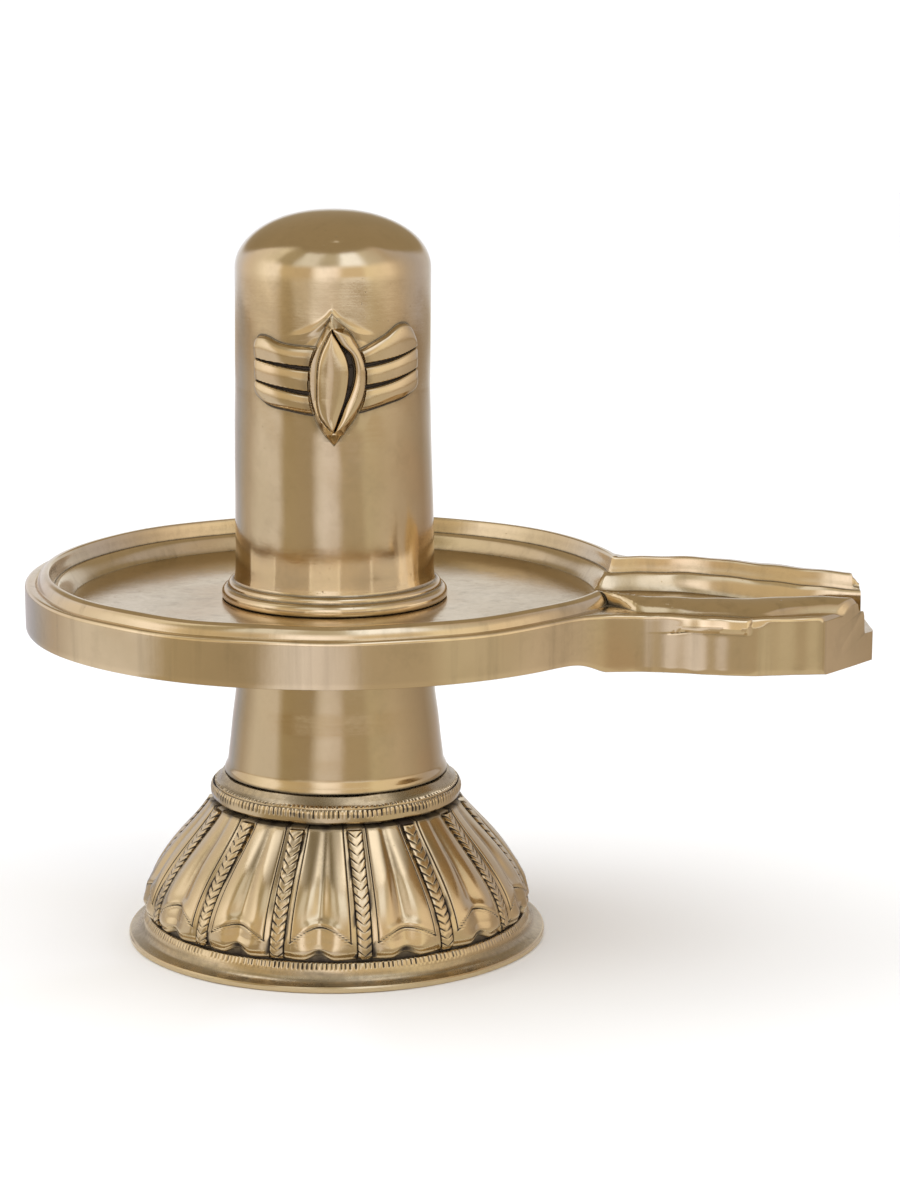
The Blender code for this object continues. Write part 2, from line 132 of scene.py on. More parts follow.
class StudioSettings(bpy.types.PropertyGroup):
    floor: tone("Floor", "Plain pale floor", (0.90, 0.90, 0.90))
    light: bpy.props.FloatProperty(name="Light", description="Strength of the lamps and the tent",
                                   default=1.0, min=0.0)
    azimuth: bearing("Camera azimuth", "From the front towards the spout", 8.0)
    lens: bpy.props.FloatProperty(name="Lens", description="Focal length of the camera",
                                  default=102.0, unit="CAMERA")


# Numbers that several surfaces share

def ease(low, high, value):
    """Smooth step from 0 at low to 1 at high."""
    t = np.clip((value - low) / (high - low), 0.0, 1.0)
    return t * t * (3.0 - 2.0 * t)


def bump(value, middle, width):
    return np.exp(-((value - middle) / width) ** 2)


def through(points, value):
    """Read a list of (place, value) points as a smooth curve."""
    places, values = np.array(points, float).T
    slopes = np.gradient(values, places)
    value = np.clip(value, places[0], places[-1])
    k = np.clip(np.searchsorted(places, value, side="right") - 1, 0, len(places) - 2)
    span = places[k + 1] - places[k]
    t = (value - places[k]) / span
    return (values[k] * (2 * t ** 3 - 3 * t ** 2 + 1) + values[k + 1] * (3 * t ** 2 - 2 * t ** 3)
            + slopes[k] * span * (t ** 3 - 2 * t ** 2 + t)
            + slopes[k + 1] * span * (t ** 3 - t ** 2))


def waves(seed, azimuth, along, turns=(1, 6), steps=(0.5, 3.0), count=10):
    """Slow seeded unevenness, about -1 to 1, that closes round the axis."""
    rng = np.random.default_rng(seed)
    total = np.zeros(np.broadcast(azimuth, along).shape)
    for _ in range(count):
        k = rng.integers(turns[0], turns[1] + 1)
        f = rng.uniform(*steps)
        total = total + rng.normal() * np.sin(k * azimuth + rng.uniform(0, tau)
                                              + f * along + rng.uniform(0, tau))
    return total / np.sqrt(count)


def blurred(field, passes):
    """Average a closed field of heights with its neighbours, again and again."""
    for _ in range(passes):
        left, right = np.roll(field, 1, 1), np.roll(field, -1, 1)
        up = np.vstack([field[:1], field[:-1]])
        down = np.vstack([field[1:], field[-1:]])
        field = (field * 2 + left + right + up + down) / 6.0
    return field


def around(radius, azimuth, z):
    """Points by radius, azimuth from the front towards the spout, and height."""
    z = np.broadcast_to(z, np.broadcast(radius, azimuth, z).shape)
    return np.stack([radius * np.sin(azimuth), -radius * np.cos(azimuth), z], axis=-1)


def spans(stops, counts):
    """Places from the first stop to the last, with a count of steps for each span."""
    parts = [np.linspace(a, b, n, endpoint=False) for a, b, n in zip(stops, stops[1:], counts)]
    return np.concatenate(parts + [stops[-1:]])


def outline_rows(points, spacing, hollow):
    """A profile of (radius, height) points in mm, cut into rows no further apart than spacing,
    with none between the axis and the radius hollow."""
    rows = [points[0]]
    for (r0, z0), (r1, z1) in zip(points, points[1:]):
        steps = max(1, int(np.ceil(np.hypot(r1 - r0, z1 - z0) / spacing)))
        rows += [(r0 + (r1 - r0) * i / steps, z0 + (z1 - z0) * i / steps)
                 for i in range(1, steps + 1)]
    rows = np.array(rows)
    return rows[(rows[:, 0] > hollow) | (rows[:, 0] == 0.0)]


# Making and finishing one mesh

def select(things):
    bpy.ops.object.select_all(action="DESELECT")
    for thing in things:
        thing.select_set(True)
    bpy.context.view_layer.objects.active = things[0]


def grid(name, points):
    """A grid laid over points[row, column], with the row and the column of each vertex."""
    rows, columns = points.shape[0] - 1, points.shape[1] - 1
    bpy.ops.object.select_all(action="DESELECT")
    bpy.ops.mesh.primitive_grid_add(x_subdivisions=columns, y_subdivisions=rows, size=2.0)
    piece = bpy.context.object
    piece.name = piece.data.name = name
    vertices = piece.data.vertices
    flat = np.empty(len(vertices) * 3)
    vertices.foreach_get("co", flat)
    flat = (flat.reshape(-1, 3) + 1.0) * 0.5
    row = np.rint(flat[:, 1] * rows).astype(int)
    column = np.rint(flat[:, 0] * columns).astype(int)
    vertices.foreach_set("co", points[row, column].astype(np.float32).ravel())
    return piece, row, column


def skin(name, points, wear_and_shade, crease=35.0):
    """Lay a grid over points, close it, and keep its wear_and_shade (rubbing, patina and painted
    shade) as an attribute.
    """
    piece, row, column = grid(name, points)
    mesh = piece.data
    layer = mesh.attributes.new("wear_and_shade", "FLOAT", "POINT")
    layer.data.foreach_set("value", wear_and_shade[row, column].astype(np.float32).ravel())
    while mesh.uv_layers:
        mesh.uv_layers.remove(mesh.uv_layers[0])
    close_seams(piece, crease)
    return piece


def close_seams(piece, crease):
    select([piece])
    bpy.ops.object.mode_set(mode="EDIT")
    bpy.ops.mesh.select_all(action="SELECT")
    bpy.ops.mesh.remove_doubles(threshold=1e-6)
    bpy.ops.mesh.normals_make_consistent(inside=False)
    bpy.ops.object.mode_set(mode="OBJECT")
    bpy.ops.object.shade_smooth_by_angle(angle=radians(crease))


def turned_skin(name, profile, azimuth, relief, wear_and_shade):
    """A turned piece. Its profile runs in mm from the axis below to the axis above, relief
    gives heights in mm along its normals, and wear_and_shade is below 0 for patina and for painted
    shade."""
    slope = np.gradient(profile, axis=0)
    size = np.hypot(slope[:, 0], slope[:, 1]) + 1e-9
    out, up = slope[:, 1] / size, -slope[:, 0] / size
    height = np.broadcast_to(relief, (len(profile), len(azimuth))).copy()
    height[:, -1] = height[:, 0]
    radius = np.maximum(profile[:, :1] + height * out[:, None], 0.0)
    z = profile[:, 1:] + height * up[:, None]
    poles = profile[:, 0] == 0.0
    radius[poles], z[poles] = 0.0, profile[poles, 1:]
    turn = azimuth.copy()
    turn[-1] = turn[0]
    wear_and_shade = np.clip(np.broadcast_to(wear_and_shade, height.shape), -1.0, 1.0).copy()
    wear_and_shade[:, -1] = wear_and_shade[:, 0]
    return skin(name, around(radius * MM, turn[None, :], z * MM), wear_and_shade)


def place(piece, node, material, stands_for=True):
    piece.data.materials.clear()
    piece.data.materials.append(material)
    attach(piece, "root")
    if stands_for:
        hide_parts(node)


# Brass in its several states of wear, darkened also where shade is painted

class Socket:
    """One value in a material, with the arithmetic its masks need."""

    def __init__(self, tree, socket):
        self.tree, self.socket = tree, socket

    def _math(self, operation, *values, clamp=False):
        return add_node(self.tree, "ShaderNodeMath", {"operation": operation, "use_clamp": clamp},
                        dict(enumerate(values)))[0]

    def __add__(self, other):
        return self._math("ADD", self, other)

    def __sub__(self, other):
        return self._math("SUBTRACT", self, other)

    def __rsub__(self, other):
        return self._math("SUBTRACT", other, self)

    def __mul__(self, other):
        return self._math("MULTIPLY", self, other)

    __radd__, __rmul__ = __add__, __mul__

    def clamped(self):
        return self._math("MULTIPLY", self, 1.0, clamp=True)

    def step(self, low, high):
        """0 below low and 1 above high, with a smooth change between."""
        return add_node(self.tree, "ShaderNodeMapRange", {"interpolation_type": "SMOOTHSTEP"},
                        {"Value": self, "From Min": low, "From Max": high})[0]


def add_node(tree, kind, settings, values):
    """Add a node, set it up and feed it. Returns its outputs as Sockets."""
    node = tree.nodes.new(kind)
    for key, setting in settings.items():
        setattr(node, key, setting)
    for key, value in values.items():
        target = node.inputs[key]
        if isinstance(value, Socket):
            tree.links.new(value.socket, target)
        else:
            target.default_value = value
    return [Socket(tree, output) for output in node.outputs]


def stretched(tree, scale):
    """Object coordinates, scaled by axis: a large number packs the pattern along that axis."""
    here = add_node(tree, "ShaderNodeTexCoord", {}, {})[3]
    return add_node(tree, "ShaderNodeMapping", {}, {"Vector": here, "Scale": scale})[0]


def noise(tree, vector, scale, detail=3.0, rough=0.5):
    return add_node(tree, "ShaderNodeTexNoise", {},
                    {"Vector": vector, "Scale": scale, "Detail": detail, "Roughness": rough})[0]


def blend_tones(tree, mask, first, second):
    return add_node(tree, "ShaderNodeMix", {"data_type": "RGBA"},
                    {0: mask, 6: first, 7: second})[2]


def rgba(colour, scale=1.0):
    return tuple(part * scale for part in colour) + (1.0,)


def new_material(name):
    material = bpy.data.materials.new(name)
    material.use_nodes = True
    return material, material.node_tree, material.node_tree.nodes["Principled BSDF"]


def brass(name, finish, base, brush_scale, polish=0.0, tint=1.0, streak=0.0):
    """Cast brass: wiped satin metal, brushed one way, with patina where it is recessed and painted
    shade where its wear_and_shade attribute holds it.
    """
    material, tree, shader = new_material(name)
    here = stretched(tree, (1.0, 1.0, 1.0))
    wear_and_shade = add_node(tree, "ShaderNodeAttribute", {"attribute_name": "wear_and_shade"}, {})[2]
    mottle = noise(tree, here, 26.0, 4.0)
    patches = noise(tree, here, 13.0, 2.0)
    grain = noise(tree, here, 420.0, 4.0, 0.6)
    brushed = noise(tree, stretched(tree, brush_scale), 1.0, 3.0, 0.6)
    pits = noise(tree, here, 640.0, 1.0).step(0.74, 0.80) * noise(tree, here, 40.0).step(0.52, 0.7)
    # recess_and_shade is patina in the hollows plus painted shade from the wear_and_shade
    # attribute; haze_and_shade lays both on as darker aged brass, and dark lays them on as patina
    recess_and_shade = (grain - 0.5) * 0.25 - wear_and_shade
    dark = recess_and_shade.step(0.16, 0.72)
    streaks = noise(tree, stretched(tree, brush_scale), 0.16, 3.0, 0.6).step(0.5, 0.75)
    smudge = noise(tree, here, 34.0, 5.0, 0.7).step(0.50, 0.72)
    haze_and_shade = recess_and_shade.step(-0.02, 0.40) * 0.55 + streaks * streak + smudge * 0.15
    rubbed = wear_and_shade.step(0.08, 0.6)
    colour = rgba(base)
    for mask, over in ((mottle.step(0.38, 0.66) * 0.5, rgba(finish.olive)),
                       (patches.step(0.52, 0.70) * (0.55 * tint), rgba(finish.warm, 0.94)),
                       (rubbed * 0.5, rgba(finish.brass, 1.16)),
                       ((haze_and_shade + pits * 0.6).clamped(), rgba(finish.olive, 0.42)),
                       (dark, rgba(finish.patina))):
        colour = blend_tones(tree, mask, colour, over)
    rough = ((finish.roughness - polish) + (brushed - 0.5) * (0.22 * finish.brushing)
             + (mottle - 0.5) * 0.16 + dark * 0.35 + haze_and_shade * 0.12 - rubbed * 0.05)
    height = brushed * (0.12 * finish.brushing) + grain * 0.10 + mottle * 1.2 - pits * 1.4
    normal = add_node(tree, "ShaderNodeBump", {}, {"Strength": 0.35, "Distance": 0.0004,
                                                   "Height": height})[0]
    for socket, value in (("Base Color", colour), ("Metallic", 1.0 - dark * 0.75),
                          ("Roughness", rough.clamped()), ("Normal", normal)):
        tree.links.new(value.socket, shader.inputs[socket])
    return material


# Lotus pedestal

class LINGAM_OT_pedestal(bpy.types.Operator):
    """Model the lotus pedestal: petals between chased ribs, the ring above, the foot below"""
    bl_idname = "lingam.pedestal"
    bl_label = "Pedestal"

    def execute(self, context):
        sizes, finish = context.scene.lingam_pedestal, context.scene.lingam_finish
        metal = brass("pedestal_brass", finish, finish.lower, (70.0, 70.0, 1500.0), tint=0.4)
        for make in (make_petals, make_ribs, make_ring, make_foot):
            place(make(sizes), "pedestal", metal, make is make_petals)
        return {"FINISHED"}


def bell(sizes, drop):
    """Petals' outline in mm: radius at a share of the way down from the neck to the lip."""
    neck, foot = sizes.neck_radius / MM, sizes.foot_radius / MM
    return neck + (foot - neck) * np.sin(0.5 * pi * np.clip(drop, 0.0, 1.0) ** 1.13)


# Heights in mm where the petals' mesh closes under the ring and over the foot, and how far in
# it is tucked
HIGH_END, LOW_END, TUCK_RADIUS = 64.6, 10.4, 85.2


def make_petals(sizes):
    count = sizes.petals
    half = (sizes.rib_half + sizes.groove) / MM
    bottom, tall = sizes.petal_bottom / MM, sizes.petal_height / MM
    step = tau / count
    rng = np.random.default_rng(11)

    # Columns: over the floor under a rib, then across the petal, closer at its side lines
    across_rib = np.array([-1.0, -0.93, -0.86, -0.6, 0.0, 0.6, 0.86, 0.93])
    across_petal = spans((0.0, 0.055, 0.105, 0.895, 0.945, 1.0), (4, 8, 19, 8, 4))[:-1]
    per = len(across_rib) + len(across_petal)
    number = np.arange(count * per + 1) % (count * per)
    sector, inside = number // per, number % per
    on_rib = inside < len(across_rib)
    lateral = np.where(on_rib, across_rib[np.minimum(inside, len(across_rib) - 1)], 0.0)
    petal = np.where(on_rib, 0.0, across_petal[np.clip(inside - len(across_rib), 0, None)])
    c = np.where(on_rib, -np.sign(lateral), 2.0 * petal - 1.0)
    aside = np.abs(c)

    # Rows: down the bell, closest over the arched lines
    s = spans((0.0, 0.70, 0.90, 1.0), (52, 50, 16))[:, None]
    radius = bell(sizes, s)

    lean = rng.uniform(-0.09, 0.09, count)[sector]
    arch_rise = rng.uniform(4.4, 7.0, count)[sector]
    crease = rng.uniform(0.8, 1.25, count)[sector]
    hollow = rng.uniform(0.75, 1.2, count)[sector]
    middle = c - lean * ease(0.2, 0.9, s)
    off_middle = np.abs(middle)

    # Petal: two lobes with a crease between, flaring out to a lip with a small hollow under it
    dent = hollow * (1.0 - ease(0.0, 0.44, off_middle))
    lift = 2.1 * dent * ease(0.84, 1.0, s)
    z = bottom + tall * (1.0 - s) + np.where(on_rib, 0.0, lift)
    valley = (0.55 + 0.45 * ease(0.0, 0.3, s)) * (1.0 - 0.85 * ease(0.45, 0.80, s))
    petal_relief = (0.9 * ease(0.0, 0.5, s) * bump(off_middle, 0.44, 0.30)
                    - 1.3 * crease * valley * bump(middle, 0.0, 0.17)
                    - 1.5 * ease(0.3, 0.7, s) * ease(0.98, 0.86, s) * bump(middle, 0.0, 0.42)
                    - 1.0 * ease(0.74, 1.0, aside))
    arch = bottom + 6.6 + arch_rise * (1.0 - np.clip(aside / 0.84, 0.0, 1.0) ** 1.9)
    above_arch = z - arch
    arch_line = bump(above_arch, 0.0, 0.30) * (aside < 0.87)
    side = (aside - 0.84) * 0.5 * (radius * step - 2.0 * half)
    side_line = bump(side, 0.0, 0.27) * ease(-0.3, 0.6, above_arch)
    lines = np.maximum(arch_line, side_line)
    pillow = 0.75 * bump(above_arch, 1.9, 1.7) * ease(0.75, 0.2, aside)
    lip_roll = -1.3 * ease(4.4, 0.0, z - (bottom + lift)) ** 2
    pit = -0.8 * dent * bump(z, bottom + 2.8, 2.4) * ease(0.84, 0.92, s)
    step_in = -0.25 * ease(0.3, -1.6, above_arch) * ease(0.92, 0.82, aside)
    petal_height = petal_relief + lip_roll + step_in + pillow + pit - 0.6 * lines

    floor = -3.0 * (0.55 + 0.30 * ease(0.0, 0.77, s))
    edge = ease(0.86, 1.0, np.abs(lateral)) * (-1.1 - floor)
    height = np.where(on_rib, floor + edge, petal_height)
    height = height + 0.07 * waves(5, number / per * step, s * 9.0, (2, 12), (0.2, 0.9))

    azimuth_rib = sizes.rib_turn + sector * step
    spread = half / radius
    azimuth = np.where(on_rib, azimuth_rib + lateral * spread,
                       azimuth_rib + spread + petal * (step - 2.0 * spread))
    smear = ease(0.35, 1.0, waves(17, number / per * step, s * 6.0, (6, 40), (0.5, 5.0)))
    # In petal_wear_and_shade the darker crease down the upper petal (its last term) is painted
    # shade; the lobes are rubbed lighter, and the lines, side edges, hollow and smears are patina
    # and dirt.
    petal_wear_and_shade = (0.25 * ease(0.2, 0.8, s) * bump(off_middle, 0.48, 0.26)
                  - 0.9 * lines - 0.22 * ease(0.95, 1.0, aside) - 0.4 * ease(0.03, 0.0, s)
                  - 0.62 * dent ** 2 * ease(0.92, 0.985, s) - 0.25 * smear * ease(0.88, 0.98, s)
                  - 0.45 * smear * ease(0.86, 0.97, aside)
                  - 0.22 * ease(0.35, 0.0, off_middle) * ease(0.75, 0.3, s))
    wear_and_shade = np.clip(np.where(on_rib, -0.34 - 0.5 * smear, petal_wear_and_shade), -1.0, 1.0)
    points = around((radius + height) * MM, azimuth, z * MM)

    # Rows of radius, height and wear_and_shade: the lip is rounded and tucked in, its underside
    # darkened as patina in the gap and as painted shade, and both ends close
    flat = np.zeros(number.shape)
    lip_r, lip_z = (radius + height)[-1], z[-1]
    tuck = np.minimum(lip_r - 1.2, TUCK_RADIUS)
    above = [(0.0, HIGH_END, -0.8), (48.0, HIGH_END, -0.8)]
    below = [(lip_r - 0.9 * (1.0 - cos(a)), lip_z - 0.9 * sin(a), -0.15 - 0.3 * dent[-1])
             for a in np.radians(np.linspace(15.0, 105.0, 5))]
    below += [(below[4][0] + (tuck - below[4][0]) * f, below[4][1] + 0.3 * f, -0.5)
              for f in (0.5, 1.0)]
    below += [(tuck, LOW_END, -0.7), (0.0, LOW_END, -0.8)]
    parts = [[around((r + flat) * MM, turn, zz * MM) for r, zz, _ in rows]
             for rows, turn in ((above, azimuth[0]), (below, azimuth[-1]))]
    points = np.concatenate([parts[0], points, parts[1]])
    wear_and_shade = np.concatenate([[w + flat for _, _, w in above], wear_and_shade, [w + flat for _, _, w in below]])
    return skin("lotus_petals", points, wear_and_shade, crease=50.0)


# Rows and columns of a rib's mesh, and its length as a share of its height
RIB_ROWS, RIB_COLUMNS, RIB_LENGTH = 236, 23, 1.16


def make_ribs(sizes):
    """Rounded bands between the petals, each chased with chevrons that point down."""
    rib = sizes.rib_half / MM
    bottom, tall = sizes.petal_bottom / MM, sizes.petal_height / MM
    rng = np.random.default_rng(12)
    s = np.linspace(0.0, 1.0, RIB_ROWS)[:, None]
    radius = bell(sizes, s)
    low = ease(0.0, 0.77, s)
    run = tall * RIB_LENGTH
    lateral = np.concatenate([np.linspace(-1.0, 1.0, RIB_COLUMNS), [1.0, -1.0, -1.0]])
    hidden = np.concatenate([np.zeros(RIB_COLUMNS), [1.0, 1.0, 0.0]])
    bands = []
    for number in range(sizes.petals):
        pitch = run / (sizes.chevrons * rng.uniform(0.78, 1.06))
        wave = 0.14 * waves(70 + number, lateral * 1.5, s * 40.0, (1, 4), (0.4, 2.6))
        w = lateral * (rib + 0.6 * wave)
        part = np.abs(w) / rib
        slope = rng.uniform(2.1, 2.9)
        phase = (s * run + slope * part) / pitch + rng.uniform(0.0, 1.0)
        below = (phase - np.floor(phase)) * pitch
        cut = np.maximum(bump(below, 0.0, 0.34 + 0.40 * part), bump(below, pitch, 0.20))
        faint = 1.0 - 0.55 * rng.uniform(0.3, 1.0) * ease(0.55, 0.85, s) * ease(1.0, 0.93, s)
        cut = cut * (0.45 + 0.55 * ease(0.05, 0.5, part)) * faint * ease(0.0, 0.02, s)
        crown = 3.0 * (0.42 - 0.5 * low) - 0.45 * part ** 4
        height = np.where(hidden > 0.0, -4.4, crown - 0.5 * cut + 0.6 * wave)
        height = height - 1.3 * ease(0.95, 1.0, s) ** 2 * (hidden == 0.0)
        turn = sizes.rib_turn + number * tau / sizes.petals + w / radius
        z = bottom - 0.6 + tall * (1.0 - s) + 0.0 * w
        points = around((radius + height) * MM, turn, z * MM)
        stain = ease(0.3, 1.0, waves(90 + number, lateral, s * 8.0, (1, 3), (0.5, 3.0)))
        wear_and_shade = (0.22 - 1.5 * cut - 0.45 * ease(0.88, 1.0, part)
                - 0.42 * stain * ease(0.35, 0.85, s))
        ends = points[[0, -1]].mean(axis=1, keepdims=True) + 0.0 * points[[0, -1]]
        points = np.concatenate([ends[:1], points, ends[1:]])
        wear_and_shade = np.concatenate([wear_and_shade[:1], wear_and_shade, wear_and_shade[-1:]])
        bands.append(skin("rib_%02d" % number, points, np.clip(wear_and_shade, -1.0, 1.0), crease=60.0))
    select(bands)
    bpy.ops.object.join()
    bands[0].name = bands[0].data.name = "lotus_ribs"
    return bands[0]


def ticks(azimuth, count, seed):
    """Hand-punched ticks round the axis, from 0 to 1, uneven in depth and spacing."""
    rng = np.random.default_rng(seed)
    at = azimuth / tau * count
    nearest = np.rint(at).astype(int) % count
    offset = at - np.rint(at) - rng.uniform(-0.14, 0.14, count)[nearest]
    strength = np.clip(rng.normal(0.85, 0.28, count), 0.2, 1.3)[nearest]
    return strength * bump(offset, 0.0, 0.17)


def make_ring(sizes):
    azimuth = np.linspace(0.0, tau, sizes.ring_ticks * 6 + 1)
    profile = outline_rows([
        (0.0, 64.2), (49.0, 64.2), (54.2, 64.4), (55.6, 64.9), (56.5, 65.7), (56.8, 66.8),
        (57.0, 68.4), (56.9, 69.6), (56.6, 70.5), (56.2, 71.2), (55.9, 71.4), (55.75, 70.9),
        (55.55, 70.8), (55.4, 71.6), (55.3, 72.2), (54.9, 72.4), (54.0, 72.9), (53.1, 73.8),
        (52.3, 75.0), (51.5, 76.2), (50.9, 76.3), (0.0, 76.3)], 0.45, 48.5)
    r, z = profile[:, :1], profile[:, 1:]
    band = ease(67.6, 68.2, z) * (r > 56.1) * ticks(azimuth, sizes.ring_ticks, 3)
    edge = (r > 54.4) * (r < 55.35) * (z > 72.0) * ticks(azimuth + 0.01, sizes.ring_ticks, 4)
    slow = waves(8, azimuth[None], z, (2, 14), (0.1, 0.6))
    relief = 0.14 * slow - 0.45 * band - 0.28 * edge
    wear_and_shade = (0.15 - 0.95 * band - 0.8 * edge - 1.1 * bump(r, 55.65, 0.28) * (z > 70.3) * (z < 71.5)
            - 0.42 * ease(72.3, 72.9, z) * (r < 54.9) - 0.35 * ease(66.4, 65.2, z)
            - 0.35 * ease(0.5, 1.2, slow) * (z < 70.0))
    return turned_skin("lotus_ring", profile, azimuth, relief, wear_and_shade)


def make_foot(sizes):
    azimuth = np.linspace(0.0, tau, sizes.foot_ticks * 6 + 1)
    profile = outline_rows([
        (0.0, 0.0), (94.6, 0.0), (95.3, 0.6), (95.3, 2.2), (94.8, 2.8), (93.5, 3.1), (91.9, 3.6),
        (90.5, 4.3), (89.4, 5.4), (88.7, 6.8), (88.3, 8.2), (88.1, 9.0), (87.5, 10.2),
        (87.0, 11.0), (86.2, 11.3), (84.0, 11.0), (82.0, 10.9), (0.0, 10.9)], 0.8, 81.5)
    r, z = profile[:, :1], profile[:, 1:]
    strength = 0.4 + 0.6 * ease(-0.9, 0.5, waves(21, azimuth, 0.0, (1, 9)))
    band = ease(8.4, 8.9, z) * (r > 86.6) * strength * ticks(azimuth, sizes.foot_ticks, 6)
    slow = waves(9, azimuth[None], z, (2, 12), (0.1, 0.5))
    relief = (z > 0.3) * 0.14 * slow - 0.5 * band
    # The foot's top under the petals' lip is darkened as patina in the gap and painted shade; the
    # flange's upper face is darkened as painted shade and a painted reflection of the dark basin
    # above. The ticks and the slow patches are patina.
    wear_and_shade = (0.1 - 1.0 * band - 0.75 * ease(86.9, 86.0, r) * (z > 5.0)
            - 0.3 * ease(0.6, 1.3, slow) * bump(r, 87.8, 0.9)
            - (0.37 + 0.05 * slow) * ease(95.0, 94.4, r) * ease(88.0, 88.8, r) * (z > 2.0))
    return turned_skin("lotus_foot", profile, azimuth, relief, wear_and_shade)


# Stem

class LINGAM_OT_stem(bpy.types.Operator):
    """Model the plain stem between the pedestal and the basin"""
    bl_idname = "lingam.stem"
    bl_label = "Stem"

    def execute(self, context):
        finish = context.scene.lingam_finish
        metal = brass("stem_brass", finish, finish.lower, (45.0, 45.0, 1400.0),
                      polish=0.05, tint=1.8)
        low, high = STEM_LOW.z / MM, STEM_HIGH.z / MM
        profile = outline_rows([(r, low + z) for r, z in (
            (0.0, 0.0), (50.0, 0.0), (50.6, 0.5), (50.5, 1.3), (50.0, 2.6), (49.3, 3.9),
            (48.9, 5.4), (48.4, 9.8), (47.7, 15.4), (46.7, 24.9), (45.3, 35.4), (43.6, 52.0),
            (41.4, high - low), (0.0, high - low))], 1.6, 41.3)
        r, z = profile[:, :1], profile[:, 1:]
        azimuth = np.linspace(0.0, tau, 289)
        relief = 0.10 * (r > 0.0) * waves(31, azimuth[None], z / 10.0, (2, 9), (0.1, 0.8))
        wear_and_shade = -0.5 * ease(low + 1.6, low + 0.4, z)
        cone = turned_skin("stem_cone", profile, azimuth, relief, wear_and_shade)
        place(cone, "stem", metal)
        return {"FINISHED"}


# Lingam with its mark

class LINGAM_OT_shaft(bpy.types.Operator):
    """Model the domed shaft with its collar and the raised mark"""
    bl_idname = "lingam.shaft"
    bl_label = "Shaft and mark"

    def execute(self, context):
        finish = context.scene.lingam_finish
        metal = brass("shaft_brass", finish, finish.brass, (60.0, 60.0, 1300.0),
                      polish=0.05, tint=1.3)
        place(make_shaft(context.scene.lingam_shaft), "lingam", metal)
        return {"FINISHED"}


# The mark in mm, arc from its middle line and height from its middle
LEFT_TOP = ((-38.6, 15.6), (-36.2, 17.6), (-33.5, 18.0), (-24.0, 15.4), (-9.0, 14.2), (0.0, 14.2))
LEFT_UPPER = ((-38.6, 8.0), (-24.0, 6.2), (-10.6, 5.0), (0.0, 5.0))
LEFT_LOWER = ((-38.6, -1.4), (-24.0, -4.0), (-10.7, -5.8), (0.0, -6.0))
LEFT_BOTTOM = ((-38.6, -8.2), (-36.7, -9.0), (-32.5, -11.2), (-20.0, -13.6), (-9.9, -15.0),
               (0.0, -15.4))
RIGHT_TOP = ((0.0, 11.8), (9.9, 12.8), (22.0, 18.2), (31.6, 23.1), (36.6, 21.6), (40.6, 15.0))
RIGHT_UPPER = ((0.0, 6.0), (12.1, 6.2), (26.0, 8.2), (41.0, 12.4))
RIGHT_LOWER = ((0.0, -3.6), (11.5, -3.4), (26.0, -1.2), (41.0, 3.2))
RIGHT_BOTTOM = ((0.0, -15.0), (11.0, -14.0), (24.0, -11.2), (34.6, -8.7), (41.4, -5.9))
LEFT_END, RIGHT_END = 38.6, 41.2
# Half of the arc and half of the height over which the mark is meshed finely
MARK_HALF, MARK_TALL = 43.0, 31.0


def rounded_least(values, radius):
    """The least of several distances, with rounded corners."""
    least = values[0]
    for other in values[1:]:
        h = np.clip(0.5 + 0.5 * (other - least) / radius, 0.0, 1.0)
        least = other * (1 - h) + least * h - radius * h * (1 - h)
    return least


def bars_height(u, v):
    """Three raised bars on each side, cut apart by two grooves, and where patina, brown dirt and
    painted shade lie on and round them.
    """
    total, patina_and_shade = 0.0, 0.0
    for side, top, upper, lower, bottom, end in (
            (-1, LEFT_TOP, LEFT_UPPER, LEFT_LOWER, LEFT_BOTTOM, LEFT_END),
            (1, RIGHT_TOP, RIGHT_UPPER, RIGHT_LOWER, RIGHT_BOTTOM, RIGHT_END)):
        here = side * u > 0.0
        sides = [through(top, u) - v, v - through(bottom, u), end - side * u]
        inside = rounded_least(sides, 2.6)
        raised = (2.0 * ease(-0.3, 1.1, inside) + 0.35 * ease(0.6, 3.4, inside)
                  - 0.35 * bump(inside, -0.5, 0.55))
        # foot holds the dark line round the bars' foot, which is patina in the corner made fainter
        # along the top edge as painted shade, and a soft halo outside it, which is brown dirt and
        # painted shade.
        foot = 0.62 * bump(inside, -0.35, 0.38) * (1.0 - 0.35 * ease(3.0, 0.5, sides[0]))
        foot = foot + 0.20 * ease(-4.0, -0.3, inside) * ease(0.4, -0.1, inside)
        for high, low in ((top, upper), (upper, lower), (lower, bottom)):
            part = (v - through(low, u)) / np.maximum(through(high, u) - through(low, u), 0.5)
            raised = raised + 0.55 * np.sin(pi * np.clip(part, 0.0, 1.0)) * ease(0.0, 2.0, inside)
        for line in (upper, lower):
            off = v - through(line, u)
            wide = 0.38 + 0.52 * ease(end, 12.0, side * u)
            cut = np.exp(-(off / wide) ** 4) * ease(-0.2, 0.5, inside)
            raised = raised - 1.9 * cut * (0.35 + 0.65 * ease(end, end - 3.0, side * u))
            raised = raised - 0.22 * bump(off, -(wide + 0.35), 0.35) * ease(0.0, 1.0, inside)
            foot = np.maximum(foot, cut)
        total = total + raised * here
        patina_and_shade = patina_and_shade + foot * here
    return total, patina_and_shade


